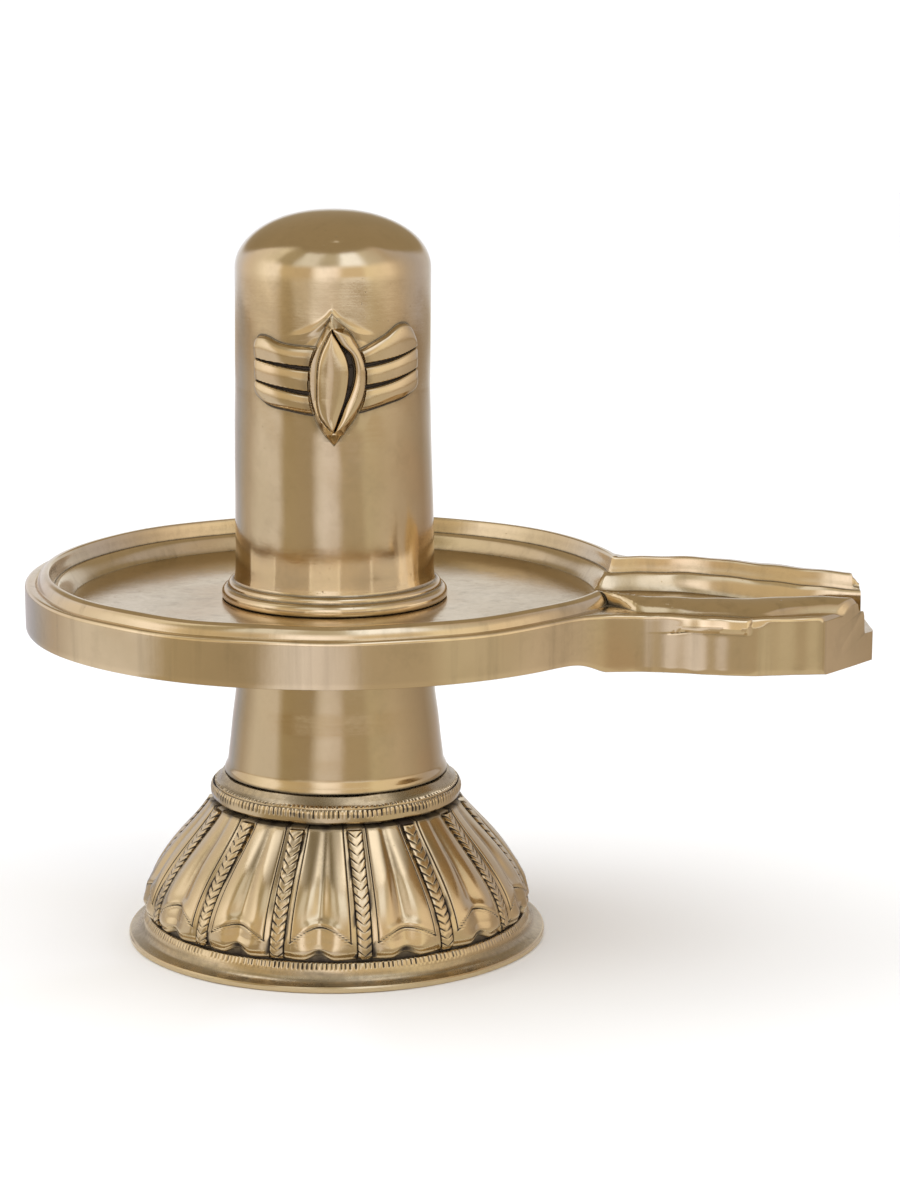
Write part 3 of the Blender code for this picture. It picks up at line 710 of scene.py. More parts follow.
# The eye in mm: arc at a height, for its foot, its top face and the dark crescent cut into it
FOOT_LEFT = ((-28.6, -0.4), (-23.9, -4.4), (-16.8, -8.5), (-8.0, -10.7), (0.0, -11.0),
             (8.0, -10.2), (13.5, -8.4), (18.0, -6.4), (23.0, -3.8), (28.6, -0.9))
FOOT_RIGHT = ((-28.6, -0.4), (-25.0, 2.6), (-20.6, 6.2), (-15.0, 10.0), (-7.0, 12.8), (0.0, 13.5),
              (7.0, 13.0), (12.9, 11.4), (17.6, 8.8), (22.4, 5.2), (28.6, -0.9))
FACE_LEFT = ((-23.4, -0.5), (-18.6, -4.7), (-13.2, -7.6), (-6.1, -9.4), (1.0, -9.9), (6.9, -9.3),
             (12.9, -7.0), (17.6, -4.4), (22.6, -1.0))
FACE_RIGHT = ((-23.4, -0.5), (-20.4, 3.2), (-15.6, 7.0), (-10.9, 9.9), (-4.9, 11.9), (0.4, 12.5),
              (6.4, 12.1), (11.7, 10.4), (16.4, 7.6), (20.6, 4.2), (22.6, -1.0))
CREASE = ((-21.8, -1.6), (-17.0, -5.2), (-11.5, -6.9), (-4.0, -7.2), (2.0, -7.0), (8.0, -6.4),
          (13.0, -5.0), (17.5, -3.1), (21.2, -1.4))
CUT_LEFT = ((-23.0, -0.6), (-15.1, 1.8), (-8.6, 3.9), (-1.3, 5.3), (4.6, 5.6), (10.5, 4.4),
            (15.9, 1.8), (21.6, -1.0))
CUT_RIGHT = ((-23.0, -0.4), (-18.0, 1.9), (-11.4, 4.3), (-6.1, 6.5), (-1.3, 8.0), (5.8, 8.5),
             (11.7, 6.6), (15.3, 3.2), (21.6, -0.7))


def eye_height(u, v):
    """An upright almond: a thin lip, a convex leaf, a dark crescent cut and a rounded lip."""
    foot = np.minimum(u - through(FOOT_LEFT, v), through(FOOT_RIGHT, v) - u)
    foot = np.where(np.abs(v) < 28.9, foot, -1.0)
    face = np.minimum(u - through(FACE_LEFT, v), through(FACE_RIGHT, v) - u)
    face = np.where((v > -23.4) & (v < 22.6), face, -np.maximum(np.abs(v + 0.4) - 23.0, 0.0))
    climb = np.clip(foot / np.maximum(foot - np.minimum(face, 0.0), 0.05), 0.0, 1.0)
    wall = 3.7 * np.where(face > 0.0, 1.0, climb ** 0.85) * (foot > 0.0)
    crease, left, right = through(CREASE, v), through(CUT_LEFT, v), through(CUT_RIGHT, v)
    within = ease(22.6, 20.6, v) * ease(-23.2, -21.0, v) * (face > 0.0)
    leaf = np.clip((u - crease) / np.maximum(left - crease, 0.3), 0.0, 1.0)
    swell = 1.45 * np.sin(pi * leaf ** 0.9) * (u > crease)
    groove = 0.55 * bump(u, crease, 0.45) + 0.35 * ease(crease - 2.6, crease, u) * (u < crease)
    centre, wide = 0.5 * (left + right), np.maximum(0.5 * (right - left), 0.35)
    cut = np.exp(-((u - centre) / (wide * 0.85)) ** 4)
    lip = np.clip((u - right) / np.maximum(through(FACE_RIGHT, v) - right, 0.3), 0.0, 1.0)
    rounded = 0.75 * np.sin(pi * lip) * (u > right)
    seam = 0.7 * bump(u, -1.0 + 0.25 * (25.5 - v), 0.55) * (foot > 0.0)
    seam = seam * ease(21.0, 23.5, v) * ease(29.5, 27.5, v)
    height = wall + within * (swell - groove - 3.1 * cut + rounded) + seam
    # The dark line at the eye's foot, the crescent cut and the crease hold patina; the halo
    # outside the foot and the darker side walls are painted shade.
    patina_and_shade = np.maximum(0.5 * bump(foot, -0.1, 0.34) * (np.abs(v) < 29.2), within * 0.95 * cut)
    patina_and_shade = np.maximum(patina_and_shade, within * 0.42 * bump(u, crease, 0.32))
    patina_and_shade = np.maximum(patina_and_shade, 0.26 * ease(-4.5, -0.2, foot) * (foot < 0.0) * (np.abs(v) < 27.0))
    patina_and_shade = np.maximum(patina_and_shade, 0.2 * (foot > 0.0) * (face < -0.3))
    return height, patina_and_shade, foot


def mark_relief(u, v):
    """Relief of the whole mark over arc u and height v, both in mm, and its patina and painted
    shade.
    """
    lens = np.cos(0.5 * pi * np.clip(v / 31.5, -1.0, 1.0))
    swell = 0.8 * bump(np.maximum(np.abs(u - 1.0) - 13.5 * lens, 0.0), 0.0, 3.4) * (lens > 0.0)
    wings = 0.0
    for side in (-1.0, 1.0):
        reach = np.maximum(side * (u + 0.9), 0.0)
        fold = v - (28.6 - 11.5 * (1.0 - np.exp(-reach / 8.0)))
        wings = wings + (0.8 * bump(fold, 0.3, 1.5) - 0.5 * bump(fold, -3.2, 2.0)) * ease(
            21.0, 4.0, reach) * (reach > 0.0)
    bars, bars_patina_and_shade = bars_height(u, v)
    eye, eye_patina_and_shade, foot = eye_height(u, v)
    ground = np.maximum(bars, 0.8 * swell * ease(0.2, 0.9, lens) + wings * ease(0.6, -0.2, bars))
    height = np.where(foot > 0.0, np.maximum(eye, np.minimum(ground, 1.2)), ground)
    return height, np.where(foot > 0.0, eye_patina_and_shade, np.maximum(bars_patina_and_shade, eye_patina_and_shade))


def make_shaft(sizes):
    floor = SHAFT_LOW.z / MM - 0.3
    top = SHAFT_HIGH.z / MM
    radius, foot = sizes.radius / MM, sizes.foot_radius / MM
    mark_z = floor + sizes.mark_height / MM
    spring = floor + sizes.shaft / MM
    dome = top - spring

    lower = outline_rows([(r, floor + z) for r, z in (
        (0.0, 0.3), (50.2, 0.3), (50.7, 1.0), (50.8, 2.4), (50.5, 3.8), (49.7, 4.9), (48.6, 5.5),
        (48.1, 5.6), (47.9, 6.0), (47.8, 6.9), (47.3, 7.7), (46.5, 8.1), (45.6, 8.3), (45.1, 8.9),
        (foot, 10.5))], 0.8, 44.8)
    taper = 0.65 * sizes.shaft / MM

    def shaft_radius(z):
        return foot + (radius - foot) * np.clip((z - floor) / taper, 0.0, 1.0)

    heights = spans((floor + 12.0, mark_z - MARK_TALL, mark_z + MARK_TALL, spring),
                    (18, 196, 5))[:-1]
    angle = np.linspace(0.0, 0.5 * pi, 26)
    crown = np.stack([radius * np.cos(angle) ** 0.94, spring + dome * np.sin(angle)], axis=1)
    crown[-1] = (0.0, top)
    profile = np.concatenate([lower, np.stack([shaft_radius(heights), heights], axis=1), crown])

    # Columns: fine over the mark, finest over the eye, and coarse round the plain back
    half = MARK_HALF / radius
    fine = spans((-MARK_HALF, -14.0, 15.0, MARK_HALF), (84, 126, 80)) / radius
    azimuth = np.concatenate([fine, np.linspace(half, tau - half, 67)[1:]])
    r, z = profile[:, :1], profile[:, 1:]
    u = azimuth[None, :] * radius
    v = z - mark_z
    inside = (ease(MARK_HALF + 1.0, MARK_HALF - 1.0, np.abs(u))
              * ease(MARK_TALL, MARK_TALL - 1.5, np.abs(v)))
    mark, patina_and_shade = mark_relief(u, v)
    mark, patina_and_shade = mark * inside, patina_and_shade * inside
    uneven = (0.22 * waves(41, azimuth[None], z / 12.0, (2, 7), (0.1, 0.7))
              + 0.035 * waves(42, azimuth[None], z / 12.0, (8, 26), (1.0, 4.0)))
    uneven = uneven * ease(floor + 4.0, floor + 30.0, z) * ease(top, top - 14.0, z)
    relief = (mark + uneven) * (r > 0.0)
    seams = bump(z, floor + 5.8, 0.35) + bump(z, floor + 8.5, 0.4)
    collar = (0.55 * seams + 0.5 * ease(floor + 1.0, floor + 0.3, z)) * (r > 44.0)
    rubbed = 0.35 * np.clip((mark - blurred(mark, 4)) / 0.5, 0.0, 1.0)
    # The shaft's wear_and_shade: rubbed mark edges, less the mark's patina and painted shade, less
    # the collar's dark seams and joint.
    return turned_skin("lingam_shaft", profile, azimuth + sizes.mark_turn, relief,
                       rubbed - patina_and_shade - collar)


# Basin with its spout

class LINGAM_OT_basin(bpy.types.Operator):
    """Model the basin: apron, ledge, rim, mouldings, floor and spout"""
    bl_idname = "lingam.basin"
    bl_label = "Basin"

    def execute(self, context):
        finish = context.scene.lingam_finish
        metal = brass("tray_brass", finish, finish.brass, (700.0, 700.0, 35.0),
                      polish=0.03, streak=0.22)
        place(make_basin(context.scene.lingam_basin), "yoni_tray", metal)
        return {"FINISHED"}


# Half widths along the spout in mm: share of the way from its root to its tip
WALL_LINE = ((0.0, 72.4), (0.045, 68.6), (0.09, 66.2), (0.16, 63.8), (0.22, 62.2), (0.33, 61.4),
             (0.45, 61.3), (0.60, 59.5), (0.76, 52.5), (0.86, 48.7), (1.1, 41.0))
RAIL_LINE = ((0.0, 38.5), (0.03, 39.0), (0.14, 43.3), (0.26, 46.0), (0.38, 45.0), (0.50, 41.5),
             (0.62, 36.8), (0.75, 30.8), (0.87, 28.0), (1.1, 26.0))
GROOVE_SHARE = ((0.0, 0.02), (0.07, 0.03), (0.11, 0.10), (0.19, 0.45), (0.265, 0.57),
                (0.40, 0.68), (0.52, 0.70), (0.64, 0.74), (0.745, 0.57), (0.83, 0.50),
                (1.1, 0.48))
# The end in mm: the blunt tip's y, and how far the near and the far corner lie behind the tip
TIP_OFFSET, NEAR_SETBACK, FAR_SETBACK, END_HALF = -14.0, 19.5, 11.5, 48.0
# In mm: the spout's fall to its tip, and how much deeper the apron's edge hangs at its root
SPOUT_FALL, ROOT_DROP = 2.6, 4.8
# Mesh: columns round the bowl, along a spout side and across the channel, and the outer rows
ARC, STATIONS, CROSS, OUTSIDE_ROWS = 420, 150, 16, 44


class Lines:
    """The basin's closed lines in mm: round the bowl, then out along both sides of the spout."""

    def __init__(self, sizes):
        self.radius, self.neck = sizes.radius / MM, sizes.neck_half / MM
        self.crest, self.mouth = sizes.crest_radius / MM, sizes.mouth_half / MM
        self.reach = sizes.reach / MM
        self.root = np.sqrt(self.radius ** 2 - self.neck ** 2)

    def share(self, x):
        return np.maximum((x - self.root) / (self.reach - self.root), 0.0)

    def wall(self, x):
        return through(WALL_LINE, self.share(x))

    def rail(self, x):
        return through(RAIL_LINE, self.share(x))

    def groove(self, x):
        part = through(GROOVE_SHARE, self.share(x))
        return self.rail(x) + part * (self.wall(x) - self.rail(x))

    def end_x(self, y):
        """X of the end face at a y, in two planes that meet at the blunt tip."""
        back = np.where(y < TIP_OFFSET, NEAR_SETBACK * (y - TIP_OFFSET) / (-END_HALF - TIP_OFFSET),
                        FAR_SETBACK * (y - TIP_OFFSET) / (END_HALF - TIP_OFFSET))
        return self.reach - back

    def line(self, radius, half_at_start, half, end_margin=0.0):
        """Points of one line, (ARC + 1 + 2 * STATIONS, 2): the bowl, near side, far side."""
        start_angle = np.arcsin(half_at_start / radius)
        angle = start_angle + (tau - 2.0 * start_angle) * np.arange(ARC + 1) / ARC
        bowl = np.stack([radius * np.cos(angle), radius * np.sin(angle)], axis=1)
        start = radius * np.cos(start_angle)
        spread = np.arange(1, STATIONS + 1) / STATIONS
        spread = 1.0 - (1.0 - spread) ** 1.15
        sides = []
        for sign in (-1.0, 1.0):
            end = self.reach - 8.0
            for _ in range(12):
                end = self.end_x(sign * half(np.array([end]))[0]) - end_margin
            x = start + (end - start) * spread
            sides.append(np.stack([x, sign * half(x)], axis=1))
        return np.concatenate([bowl, sides[0], sides[1][::-1]])


def make_basin(sizes):
    lines = Lines(sizes)
    bottom, ledge = sizes.bottom / MM, (sizes.bottom + sizes.apron) / MM
    crest = ledge + sizes.crest_rise / MM
    floor = crest - sizes.depth / MM

    def outer(inset):
        return lines.line(lines.radius - inset, lines.neck - 0.6 * inset,
                          lambda x: lines.wall(x) - inset)

    def inner(inset):
        slim = ease(4.0, 10.6, inset)
        return lines.line(lines.crest - inset, lines.mouth - inset,
                          lambda x: lines.rail(x) - inset * (
                              1.0 - slim * (0.2 * ease(0.0, 0.5, lines.share(x))
                                            + 0.18 * ease(0.70, 0.92, lines.share(x)))))

    groove_line = lines.line(0.5 * (lines.crest + lines.radius), lines.mouth + 1.4, lines.groove)
    under = lines.line(lines.radius - 16.0, lines.neck - 16.0, lambda x: lines.wall(x) - 16.0,
                       end_margin=10.0)

    rows = []

    def add(line, z, fall=0.0, drop=0.0):
        """Add a row: its line, height, extra fall along the spout and drop at the root."""
        rows.append((line, z, fall, drop * ROOT_DROP))

    add(under, floor - 5.0, drop=1.0)
    add(under, bottom + 0.8, drop=1.0)
    for inset, up in ((15.2, 0.0), (6.0, 0.0), (1.2, 0.0), (0.35, 0.35)):
        add(outer(inset), bottom + up, drop=1.0)
    for f in spans((0.0, 0.58, 0.76, 1.0), (9, 14, 4)):
        add(outer(0.0), bottom + 1.2 + (sizes.apron / MM - 2.8) * f, drop=1.0 - f)
    for a in (25.0, 50.0, 72.0, 90.0):
        add(outer(1.5 * (1 - cos(radians(a)))), ledge - 1.5 + 1.5 * sin(radians(a)))
    shelf = outer(1.5)
    for f, dip in ((0.2, 0.0), (0.4, 0.0), (0.6, 0.0), (0.78, 0.05), (0.9, 0.25), (0.97, 0.55)):
        add(shelf + (groove_line - shelf) * f, ledge - dip)
    crest_line = inner(-0.65)
    for f, rise in ((0.0, -0.7), (0.05, -0.35), (0.12, 0.65), (0.22, 1.75), (0.36, 2.9),
                    (0.52, 3.75), (0.70, 4.35), (0.86, 4.65), (0.96, 4.78)):
        add(groove_line + (crest_line - groove_line) * f, ledge + rise * (crest - ledge) / 4.8)
    for inset in (-0.35, 0.1, 0.5):
        add(inner(inset), crest + 0.02)
    for inset, down in ((0.85, 0.2), (1.15, 0.7), (1.4, 1.6), (1.7, 2.8), (2.1, 4.0), (2.5, 5.0),
                        (2.8, 5.8), (3.0, 6.4), (3.15, 6.75), (3.6, 6.8), (4.2, 6.75),
                        (4.6, 6.65), (5.1, 6.75), (5.7, 7.2), (6.4, 8.0), (7.2, 9.1), (8.0, 10.3),
                        (8.8, 11.5), (9.5, 12.5), (10.1, 13.2), (10.4, 13.55), (10.6, 13.6),
                        (11.6, 13.6)):
        add(inner(inset), crest - down, fall=3.6 * ease(5.8, 12.5, down))

    count = ARC + 1 + 2 * STATIONS
    points = np.zeros((len(rows), count, 3))
    for i, (line, z, fall, drop) in enumerate(rows):
        along = lines.share(line[:, 0]) * (np.arange(count) > ARC)
        points[i, :, :2] = line
        points[i, :, 2] = z - (SPOUT_FALL + fall) * along - drop * ease(0.0, 0.08, along)
    shape_flaws(points, lines, ledge)
    return close_basin(points, basin_wear(points), lines)


def shape_flaws(points, lines, ledge):
    """Uneven casting: the overlapping strip on the near wall, wavy edges, rounded rail ends."""
    x, y, z = points[..., 0], points[..., 1], points[..., 2]
    on_spout = np.zeros(points.shape[:2])
    on_spout[:, ARC + 1:] = 1.0
    near, far = on_spout * (y < 0.0), on_spout * (y > 0.0)
    angle = np.arctan2(y, x)
    top = ease(150.0, 164.0, z)
    ripple = 0.12 * waves(51, angle, 0.0, (3, 14))
    swing = 0.30 * np.sin(x * 0.21) * np.sin(x * 0.087 + 1.0)
    points[..., 2] += np.where(on_spout > 0, swing, ripple) * top
    # Flap of metal that lies over the top of the near wall, and ends in a notch
    outside = (np.arange(points.shape[0]) < OUTSIDE_ROWS)[:, None]
    crack = 156.9 + 1.3 * ease(152.0, 168.0, x) - 0.5 * ease(178.0, 190.0, x)
    flap = near * outside * ease(144.0, 178.0, x) * ease(190.8, 188.6, x)
    points[..., 1] -= flap * (ease(crack - 0.2, crack + 0.4, z)
                              + 0.9 * bump(z, crack + 1.6, 1.9) * ease(150.0, 165.0, x))
    split = near * outside * ease(153.0, 158.0, x) * ease(190.0, 188.0, x)
    points[..., 1] += 0.45 * split * bump(z, crack - 0.3, 0.35)
    notch = near * outside * ease(190.0, 190.8, x) * ease(199.0, 191.5, x)
    points[..., 1] += 0.8 * notch * ease(ledge - 5.4, ledge - 2.6, z)
    # The walls were filed by hand, so they aren't quite true
    number = np.arange(points.shape[1])[None, :]
    filed = 0.14 * (1.0 + 0.7 * waves(52, angle, z / 9.0, (3, 12), (0.1, 0.8))) * outside
    filed = filed * ease(0.0, 14.0, number) * ease(ARC, ARC - 14.0, number)
    points[..., :2] *= (1.0 - np.clip(filed, 0.0, 1.0) / lines.radius)[..., None]
    swayed = 0.30 * (1.0 + np.sin(0.11 * x + 0.9) * np.sin(0.043 * x + 0.02 * z)) * outside
    swayed += 0.09 * (2.0 + np.sin(0.31 * x + 0.6 + 0.01 * z) + np.sin(0.57 * x + 2.1)) * outside
    points[..., 1] -= np.sign(y) * swayed * on_spout * ease(128.0, 146.0, x)
    ends = slice(ARC + STATIONS, ARC + STATIONS + 2)
    points[2:, ends, 0] = lines.end_x(points[2:, ends, 1])
    # Rounded ends of the two rails
    left = lines.end_x(y) - x
    rail_end = (on_spout * ease(3.6, 0.0, left) ** 2
                * ease(ledge - 2.0, ledge + 1.5, z + SPOUT_FALL))
    points[..., 2] -= 2.6 * rail_end
    points[..., 2] -= 1.8 * far * ease(3.4, 2.6, left) * ease(ledge - 4.0, ledge - 1.0, z)
    # Rough metal where the near rail leaves the rim
    rough = near * ease(122.0, 126.0, x) * ease(152.0, 138.0, x) * ease(164.0, 166.0, z)
    rng = np.random.default_rng(61)
    points[..., 2] += rough * rng.normal(0.0, 0.10, points.shape[:2])
    # The wall runs out of the apron in a soft bend
    number = np.arange(points.shape[1])
    bend = np.zeros(points.shape[1])
    for corner in (0, ARC):
        gap = np.abs((number - corner + points.shape[1] // 2) % points.shape[1]
                     - points.shape[1] // 2)
        bend = np.maximum(bend, ease(16.0, 4.0, gap))
    amount = (outside * bend[None, :])[..., None] * 0.5
    for _ in range(60):
        middle = 0.5 * (np.roll(points, 1, 1) + np.roll(points, -1, 1))
        points += (middle - points) * amount


def basin_wear(points):
    """Below 0 where a point lies under its neighbourhood, and above 0 where it stands out."""
    smooth = np.stack([blurred(points[..., k], 9) for k in range(3)], axis=-1)
    away = points - smooth
    along_row = np.roll(points, -1, 1) - np.roll(points, 1, 1)
    down_row = np.vstack([points[1:], points[-1:]]) - np.vstack([points[:1], points[:-1]])
    normal = np.cross(down_row, along_row)
    normal /= np.linalg.norm(normal, axis=-1, keepdims=True) + 1e-9
    outwards = np.sum(away * normal, axis=-1)
    wear_and_shade = np.clip(-outwards / 0.8, -0.55, 0.8)
    last = ARC + STATIONS
    wear_and_shade[:, last - 5:last + 1] = wear_and_shade[:, last - 6:last - 5]
    wear_and_shade[:, last + 1:last + 7] = wear_and_shade[:, last + 7:last + 8]
    wear_and_shade[4:OUTSIDE_ROWS, last] = 0.75
    return wear_and_shade


def close_level(bm, vertex, row, end_x, sag):
    """Close one level: the bowl as one face and the channel as strips across it."""
    near = row[ARC:ARC + STATIONS + 1]
    far = [row[0]] + row[:ARC + STATIONS:-1]
    span = near[-1].co.x, far[-1].co.x
    across = None
    for k, (a, b) in enumerate(zip(near, far)):
        strip = [a]
        for c in range(1, CROSS):
            t = c / CROSS
            point = a.co.lerp(b.co, t)
            straight = span[0] + (span[1] - span[0]) * t
            point.x += (end_x(point.y) - straight) * (k / STATIONS) ** 6
            point.z -= sag * sin(pi * t) * min(1.0, 4.0 * k / STATIONS)
            strip.append(vertex(point, 0.0))
        strip.append(b)
        if across is None:
            bm.faces.new(row[:ARC + 1] + strip[1:-1])
        else:
            for m in range(CROSS):
                bm.faces.new((across[m], strip[m], strip[m + 1], across[m + 1]))
        across = strip
    return across


def close_basin(points, wear_and_shade, lines):
    """Make the basin's mesh from its lines, and close its floor, its underside and its end."""
    rows, count = points.shape[:2]
    bm = bmesh.new()
    layer = bm.verts.layers.float.new("wear_and_shade")

    def vertex(where, worn):
        made = bm.verts.new(where)
        made[layer] = worn
        return made

    rings = [[vertex(points[i, j] * MM, wear_and_shade[i, j]) for j in range(count)] for i in range(rows)]
    last_near = ARC + STATIONS
    for lower, upper in zip(rings, rings[1:]):
        for j in range(count):
            if j != last_near:
                k = (j + 1) % count
                bm.faces.new((lower[j], lower[k], upper[k], upper[j]))

    def floor_end(y):
        return float(lines.end_x(np.array(y / MM))) * MM

    near, far = ([ring[last_near + k] for ring in rings] for k in (0, 1))
    recess_end = 0.5 * (near[0].co.x + far[0].co.x)
    lip = close_level(bm, vertex, rings[-1], floor_end, 0.3 * MM)
    roof = close_level(bm, vertex, rings[0], lambda y: recess_end, 0.0)

    # End faces in two planes that meet at the blunt tip, and the flat strip under them
    tip = min(range(1, CROSS), key=lambda m: abs(lip[m].co.y / MM - TIP_OFFSET))
    keel = bm.verts.new((lip[tip].co.x, lip[tip].co.y, 0.5 * (near[2].co.z + far[2].co.z)))
    bm.faces.new(near[2:] + lip[1:tip + 1] + [keel])
    bm.faces.new(far[2:] + lip[-2:tip - 1:-1] + [keel])
    bm.faces.new((near[1], near[2], keel, far[2], far[1]))
    bm.faces.new(roof + [far[1], near[1]])
    mesh = bpy.data.meshes.new("yoni_basin")
    bm.to_mesh(mesh)
    bm.free()
    piece = add_object("yoni_basin", mesh)
    close_seams(piece, 32.0)
    return piece


# Studio

class LINGAM_OT_studio(bpy.types.Operator):
    """Set the floor, the pale room, the lamps, the light tent and the camera"""
    bl_idname = "lingam.studio"
    bl_label = "Studio"

    def execute(self, context):
        settings = context.scene.lingam_studio
        bpy.ops.object.select_all(action="DESELECT")
        bpy.ops.mesh.primitive_plane_add(size=8.0, location=(0.0, 0.0, 0.0))
        floor = context.object
        floor.name = "studio_floor"
        paint, _, shader = new_material("studio_floor")
        shader.inputs["Base Color"].default_value = rgba(settings.floor)
        shader.inputs["Roughness"].default_value = 0.55
        floor.data.materials.append(paint)
        room = bpy.data.worlds.new("studio_room")
        room.use_nodes = True
        sky = room.node_tree.nodes["Background"]
        sky.inputs["Color"].default_value = (1.0, 1.0, 1.0, 1.0)
        sky.inputs["Strength"].default_value = ROOM_LIGHT
        context.scene.world = room
        context.scene.view_settings.view_transform = "Standard"
        for name, azimuth, elevation, distance, wide, tall, power in SOFT_BOXES:
            add_lamp(name, azimuth, elevation, distance, wide, tall, power, settings)
        for number, (azimuth, spread, strength) in enumerate(FOOT_LAMPS):
            wide = 2.0 * LAMP_REACH * tan(radians(0.5 * spread))
            add_lamp("foot_lamp_%d" % number, azimuth, LAMP_DIP, LAMP_REACH, wide, LAMP_TALL,
                     strength * pi * wide * LAMP_TALL, settings, reflected=True)
        add_tent(settings)
        camera = bpy.data.cameras.new("photo_camera")
        camera.lens = settings.lens
        camera.sensor_width = 36.0
        holder = add_object("photo_camera", camera)
        turn = settings.azimuth
        holder.location = (CAMERA_ACROSS * cos(turn) + CAMERA_AWAY * sin(turn),
                           CAMERA_ACROSS * sin(turn) - CAMERA_AWAY * cos(turn), CAMERA_UP)
        holder.rotation_euler = (radians(90.0 - CAMERA_DIP), 0.0, turn)
        context.scene.camera = holder
        return {"FINISHED"}


# Camera: metres to its right of the axis, away and up, and degrees that it looks down
CAMERA_ACROSS, CAMERA_AWAY, CAMERA_UP, CAMERA_DIP = 0.05193, 1.50048, 0.46737, 11.785
ROOM_LIGHT, LAMP_AIM = 1.12, 0.17
# Name, azimuth from the camera towards the right, elevation, distance, width, height, power
SOFT_BOXES = (("box_left", -95.0, 40.0, 1.7, 1.1, 1.7, 9.0),
              ("box_right", 66.0, 45.0, 1.9, 0.9, 1.5, 7.0))
# Small lamps low in front of the shaft, for its foot: azimuth, spread in degrees, radiance
FOOT_LAMPS = ((-73.5, 34.0, 0.66), (-38.5, 38.0, 0.40), (-7.0, 27.0, 0.74), (21.0, 31.0, 0.44),
              (62.0, 53.0, 0.53))
LAMP_REACH, LAMP_TALL, LAMP_DIP = 0.104, 0.012, -3.5
# Tones of the light tent that the brass reflects, by azimuth from the camera: the table's near
# part, the far part with the walls, and the openings over it
TENT_NEAR = ((-180, 1.0, 1.0, 1.0), (-152, .64, .62, .68), (-138, .52, .55, .66),
             (-115, .60, .53, .48), (-95, .88, .85, .86), (-66, .88, .85, .88),
             (-57, .52, .44, .31), (-24, .48, .40, .30), (-15, .92, .90, .97),
             (-9, .99, .97, 1.08), (4, .88, .84, .90), (11, .57, .49, .38), (32, .57, .49, .38),
             (40, .71, .65, .53), (72, .71, .63, .55), (90, .61, .53, .46), (122, .45, .38, .33),
             (150, .58, .56, .58), (180, 1.0, 1.0, 1.0))
TENT_FAR = ((-180, .94, .95, .97), (-136, .84, .85, .98), (-115, .96, .89, .86),
            (-76, .98, .93, .82), (-66, .56, .49, .36), (-47, .52, .45, .32),
            (-39, 1.0, 1.02, 1.06), (-19, 1.02, 1.03, 1.08), (-9, .66, .62, .53),
            (5, .66, .62, .53), (12, 1.45, 1.56, 1.85), (34, 1.40, 1.50, 1.80),
            (48, .82, .79, .73), (85, .64, .55, .47), (124, .60, .58, .66),
            (150, .74, .74, .80), (180, .94, .95, .97))
TENT_OVER, TENT_WARM, TENT_REACH = (.41, .335, .23), (.68, .56, .38), 1.2
# Where the ring card under the basin is bright, by azimuth from the camera, for the petals
CARD_BRIGHT, CARD_DARK, CARD_HEIGHT = (1.75, 1.80, 2.05), (.22, .18, .11), 0.1435
CARD_LIT = ((-140, 20), (-58, 22), (28, 24), (118, 20))


def add_object(name, data):
    thing = bpy.data.objects.new(name, data)
    bpy.context.collection.objects.link(thing)
    return thing


def add_lamp(name, azimuth, elevation, distance, wide, tall, power, settings, reflected=False):
    """An area lamp that faces the axis: it lights the scene, or only shows in the brass."""
    lamp = bpy.data.lights.new(name, "AREA")
    lamp.shape = "RECTANGLE"
    lamp.size, lamp.size_y = wide, tall
    lamp.energy = power * settings.light
    holder = add_object(name, lamp)
    turn, up = radians(azimuth) + settings.azimuth, radians(elevation)
    holder.location = (distance * sin(turn) * cos(up), -distance * cos(turn) * cos(up),
                       LAMP_AIM + distance * sin(up))
    holder.rotation_euler = (radians(90.0) - up, 0.0, turn)
    holder.visible_camera = False
    holder.visible_glossy = reflected
    holder.visible_diffuse = not reflected


def glow_skin(name, reach, up, tone_at, settings):
    """A turned stage surface that gives light, seen only in the brass."""
    azimuth = np.linspace(-180.0, 180.0, 181)
    turn = np.radians(azimuth) + settings.azimuth
    piece, rows, columns = grid(name, around(reach[:, None], turn[None], up[:, None]))
    tones = piece.data.attributes.new("tone", "FLOAT_COLOR", "POINT")
    for row, column, tone_here in zip(rows, columns, tones.data):
        tone_here.color = rgba(tone_at(azimuth[column], reach[row], up[row]) * settings.light)
    paint, tree, shader = new_material(name)
    tree.nodes.remove(shader)
    tone_read = add_node(tree, "ShaderNodeAttribute", {"attribute_name": "tone"}, {})[0]
    light = add_node(tree, "ShaderNodeEmission", {}, {"Color": tone_read, "Strength": 1.0})[0]
    tree.links.new(light.socket, tree.nodes["Material Output"].inputs["Surface"])
    piece.data.materials.append(paint)
    piece.visible_camera = piece.visible_shadow = piece.visible_diffuse = False


def from_table(table, azimuth):
    places, *tones = np.array(table).T
    return np.array([np.interp(azimuth, places, values) for values in tones])


def tent_tone(azimuth, reach, up):
    """Tone of the tent: the near table, the far table and walls, and the openings over them."""
    rise = np.degrees(np.arctan2(up, reach + 1e-6))
    far = ease(0.125, 0.165, up)
    front = ease(6.0, 12.0, rise) * ease(46.0, 32.0, rise) * ease(110.0, 70.0, abs(azimuth))
    colour = (from_table(TENT_NEAR, azimuth) * (1.0 - far + 1.6 * front)
              + from_table(TENT_FAR, azimuth) * far * (1.0 - front))
    warmth = bump(up, 0.125, 0.018)
    colour = colour * (1.0 - warmth + np.array(TENT_WARM) * warmth)
    opening = 25.0 + 43.0 * ease(150.0, 80.0, abs(azimuth))
    over = ease(opening - 4.0, opening + 4.0, rise)
    return colour * (1.0 - over) + np.array(TENT_OVER) * over


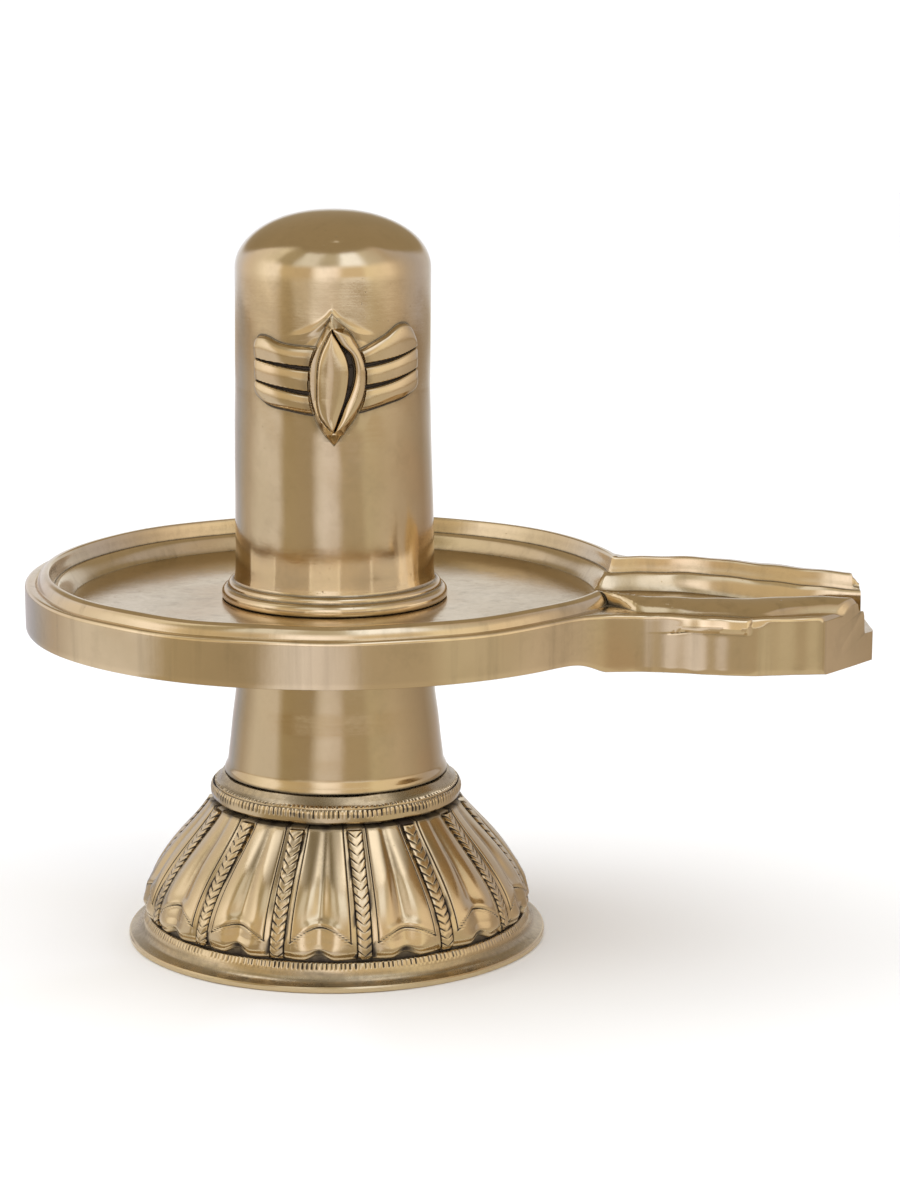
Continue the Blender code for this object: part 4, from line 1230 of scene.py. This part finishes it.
def card_tone(azimuth, reach, up):
    """Tone of the ring card under the basin."""
    lit = max(float(bump((azimuth - middle + 180.0) % 360.0 - 180.0, 0.0, wide))
              for middle, wide in CARD_LIT)
    return np.array(CARD_BRIGHT) * lit + np.array(CARD_DARK) * (1.0 - lit)


def add_tent(settings):
    """A light tent and a ring card that only the brass reflects."""
    rise = np.radians(np.arange(11.0, 90.5, 3.0))
    low = np.array([0.05, 0.09, 0.115, 0.135, 0.165, 0.20])
    reach = np.concatenate([[0.105, 0.35, 0.80], np.sqrt(TENT_REACH ** 2 - low ** 2),
                            TENT_REACH * np.cos(rise)])
    up = np.concatenate([np.full(3, 0.002), low, TENT_REACH * np.sin(rise)])
    glow_skin("light_tent", reach, up, tent_tone, settings)
    glow_skin("ring_card", np.array([0.058, 0.095, 0.134]), np.full(3, CARD_HEIGHT), card_tone,
              settings)


# Panel and registration

class LINGAM_PT_panel(bpy.types.Panel):
    """The steps in the order in which they run"""
    bl_idname = "LINGAM_PT_panel"
    bl_label = "Brass lingam"
    bl_space_type = "VIEW_3D"
    bl_region_type = "UI"
    bl_category = "Lingam"

    def draw(self, context):
        for step in STEPS:
            self.layout.operator(step.bl_idname)
        for name, _ in GROUPS:
            box = self.layout.box()
            group = getattr(context.scene, name)
            for field in group.bl_rna.properties:
                if not field.is_readonly and field.identifier != "name":
                    box.prop(group, field.identifier)


STEPS = (LINGAM_OT_pedestal, LINGAM_OT_stem, LINGAM_OT_basin, LINGAM_OT_shaft, LINGAM_OT_studio)
GROUPS = (("lingam_pedestal", PedestalSizes), ("lingam_basin", BasinSizes),
          ("lingam_shaft", LingamSizes), ("lingam_finish", BrassFinish),
          ("lingam_studio", StudioSettings))


def register():
    for name, group in GROUPS:
        bpy.utils.register_class(group)
        setattr(bpy.types.Scene, name, bpy.props.PointerProperty(type=group))
    for kind in STEPS + (LINGAM_PT_panel,):
        bpy.utils.register_class(kind)


def unregister():
    for kind in (LINGAM_PT_panel,) + STEPS[::-1]:
        bpy.utils.unregister_class(kind)
    for name, group in GROUPS[::-1]:
        delattr(bpy.types.Scene, name)
        bpy.utils.unregister_class(group)


def main():
    register()
    bpy.ops.lingam.pedestal()
    bpy.ops.lingam.stem()
    bpy.ops.lingam.basin()
    bpy.ops.lingam.shaft()
    bpy.ops.lingam.studio()


if __name__ == "__main__":
    main()
